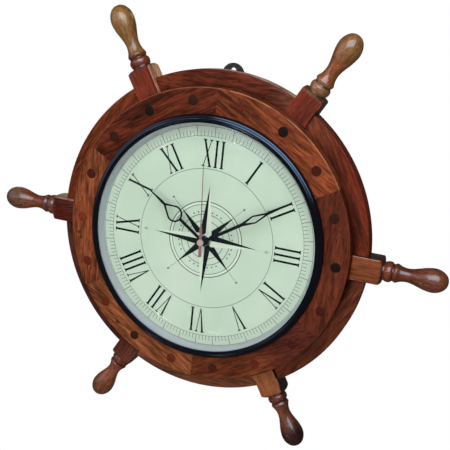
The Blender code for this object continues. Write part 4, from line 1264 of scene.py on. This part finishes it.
def build_floor():
    """Pale floor below the hanging clock."""
    low = cad_box[0][Z] - floor_drop
    corners = rectangle(-floor_reach, floor_reach, -floor_reach, floor_reach)
    mesh = bpy.data.meshes.new("floor")
    mesh.from_pydata([(x, y, low) for x, y in corners], [], [(0, 1, 2, 3)])
    floor = add_object("floor", mesh)
    graph = Graph("floor_pale")
    greys = (0.78, 0.78, 0.77, 1), (0.82, 0.82, 0.81, 1)
    graph.finish(Base_Color=graph.ramp(graph.noise(4), (0.3, 0.7), greys), Roughness=0.8)
    white_to_camera(graph.material.node_tree, graph.nodes["Material Output"],
                    graph.shader.outputs[0], "ShaderNodeEmission")
    mesh.materials.append(graph.material)
    floor.visible_glossy = False


def build_world():
    world = bpy.data.worlds.new("studio")
    bpy.context.scene.world = world
    world.use_nodes = True
    tree = world.node_tree
    tree.nodes.clear()
    room = tree.nodes.new("ShaderNodeBackground")
    room.inputs["Color"].default_value = (0.93, 0.96, 1.0, 1)
    room.inputs["Strength"].default_value = 0.06
    white_to_camera(tree, tree.nodes.new("ShaderNodeOutputWorld"), room.outputs[0],
                    "ShaderNodeBackground")


def area_light(name, place, size, power, colour=(1.0, 0.99, 0.96), size_y=None):
    """An area light that faces the clock's middle."""
    data = bpy.data.lights.new(name, 'AREA')
    data.shape = 'RECTANGLE'
    data.size = size
    data.size_y = size_y or size
    data.energy = power
    data.color = colour
    light = add_object(name, data)
    light.location = centre + Vector(place)
    light.rotation_euler = (-Vector(place)).to_track_quat('-Z', 'Y').to_euler()
    return light


def spot_light(name, place):
    """A small bright bulb that shows only as a sparkle in glossy skins."""
    data = bpy.data.lights.new(name, 'POINT')
    data.shadow_soft_size = spot_radius
    data.energy = spot_power
    light = add_object(name, data)
    light.location = centre + Vector(place)
    return light


def build_lights():
    """Soft lights for the colours, and a window, a lamp and bulbs seen only in gloss."""
    for name, place, size, power in (("sky", (0.25, -1.2, 1.5), 1.3, 35.0),
                                     ("front", (0.0, -1.8, -0.25), 1.4, 25.0),
                                     ("back", (0.3, 1.7, 0.6), 1.6, 14.0)):
        area_light(name, place, size, power).visible_glossy = False
    mirrored = [area_light("window", (0.27, -1.04, 0.88), 1.5, 40.0, (0.62, 0.80, 1.0), 1.1),
                area_light("lamp", (-1.15, -0.80, 0.42), 1.2, 5.5, (0.92, 0.82, 1.0))]
    mirrored += [spot_light(f"spot_{number + 1}", place)
                 for number, place in enumerate(spot_places)]
    for light in mirrored:
        light.visible_diffuse = False


def build_camera():
    data = bpy.data.cameras.new("camera")
    camera = add_object("camera", data)
    data.sensor_fit = 'HORIZONTAL'
    data.sensor_width = 36.0
    data.lens = focal_pixels * data.sensor_width / picture_side
    data.shift_x = (picture_side / 2 - principal_right) / picture_side
    data.shift_y = (principal_down - picture_side / 2) / picture_side
    data.clip_start = 0.01
    turn = Matrix((camera_right, camera_up, camera_back)).transposed().to_4x4()
    camera.matrix_world = Matrix.Translation(camera_place) @ turn
    bpy.context.scene.camera = camera


def main():
    bpy.context.scene.view_settings.view_transform = 'Standard'
    build_front_ring()
    build_plugs()
    build_main_ring()
    build_spokes()
    build_rear_ring()
    build_hanger()
    build_bezel()
    build_lens()
    build_tray()
    build_dial()
    build_print()
    lacquer = moulded("hand_lacquer", (9, 10, 11), 0.34, 0.04, 900, 0.05,
                      Specular_IOR_Level=0.12)
    build_hour_hand(lacquer)
    build_minute_hand(lacquer)
    build_second_hand()
    build_nut()
    build_movement()
    build_floor()
    build_world()
    build_lights()
    build_camera()


main()
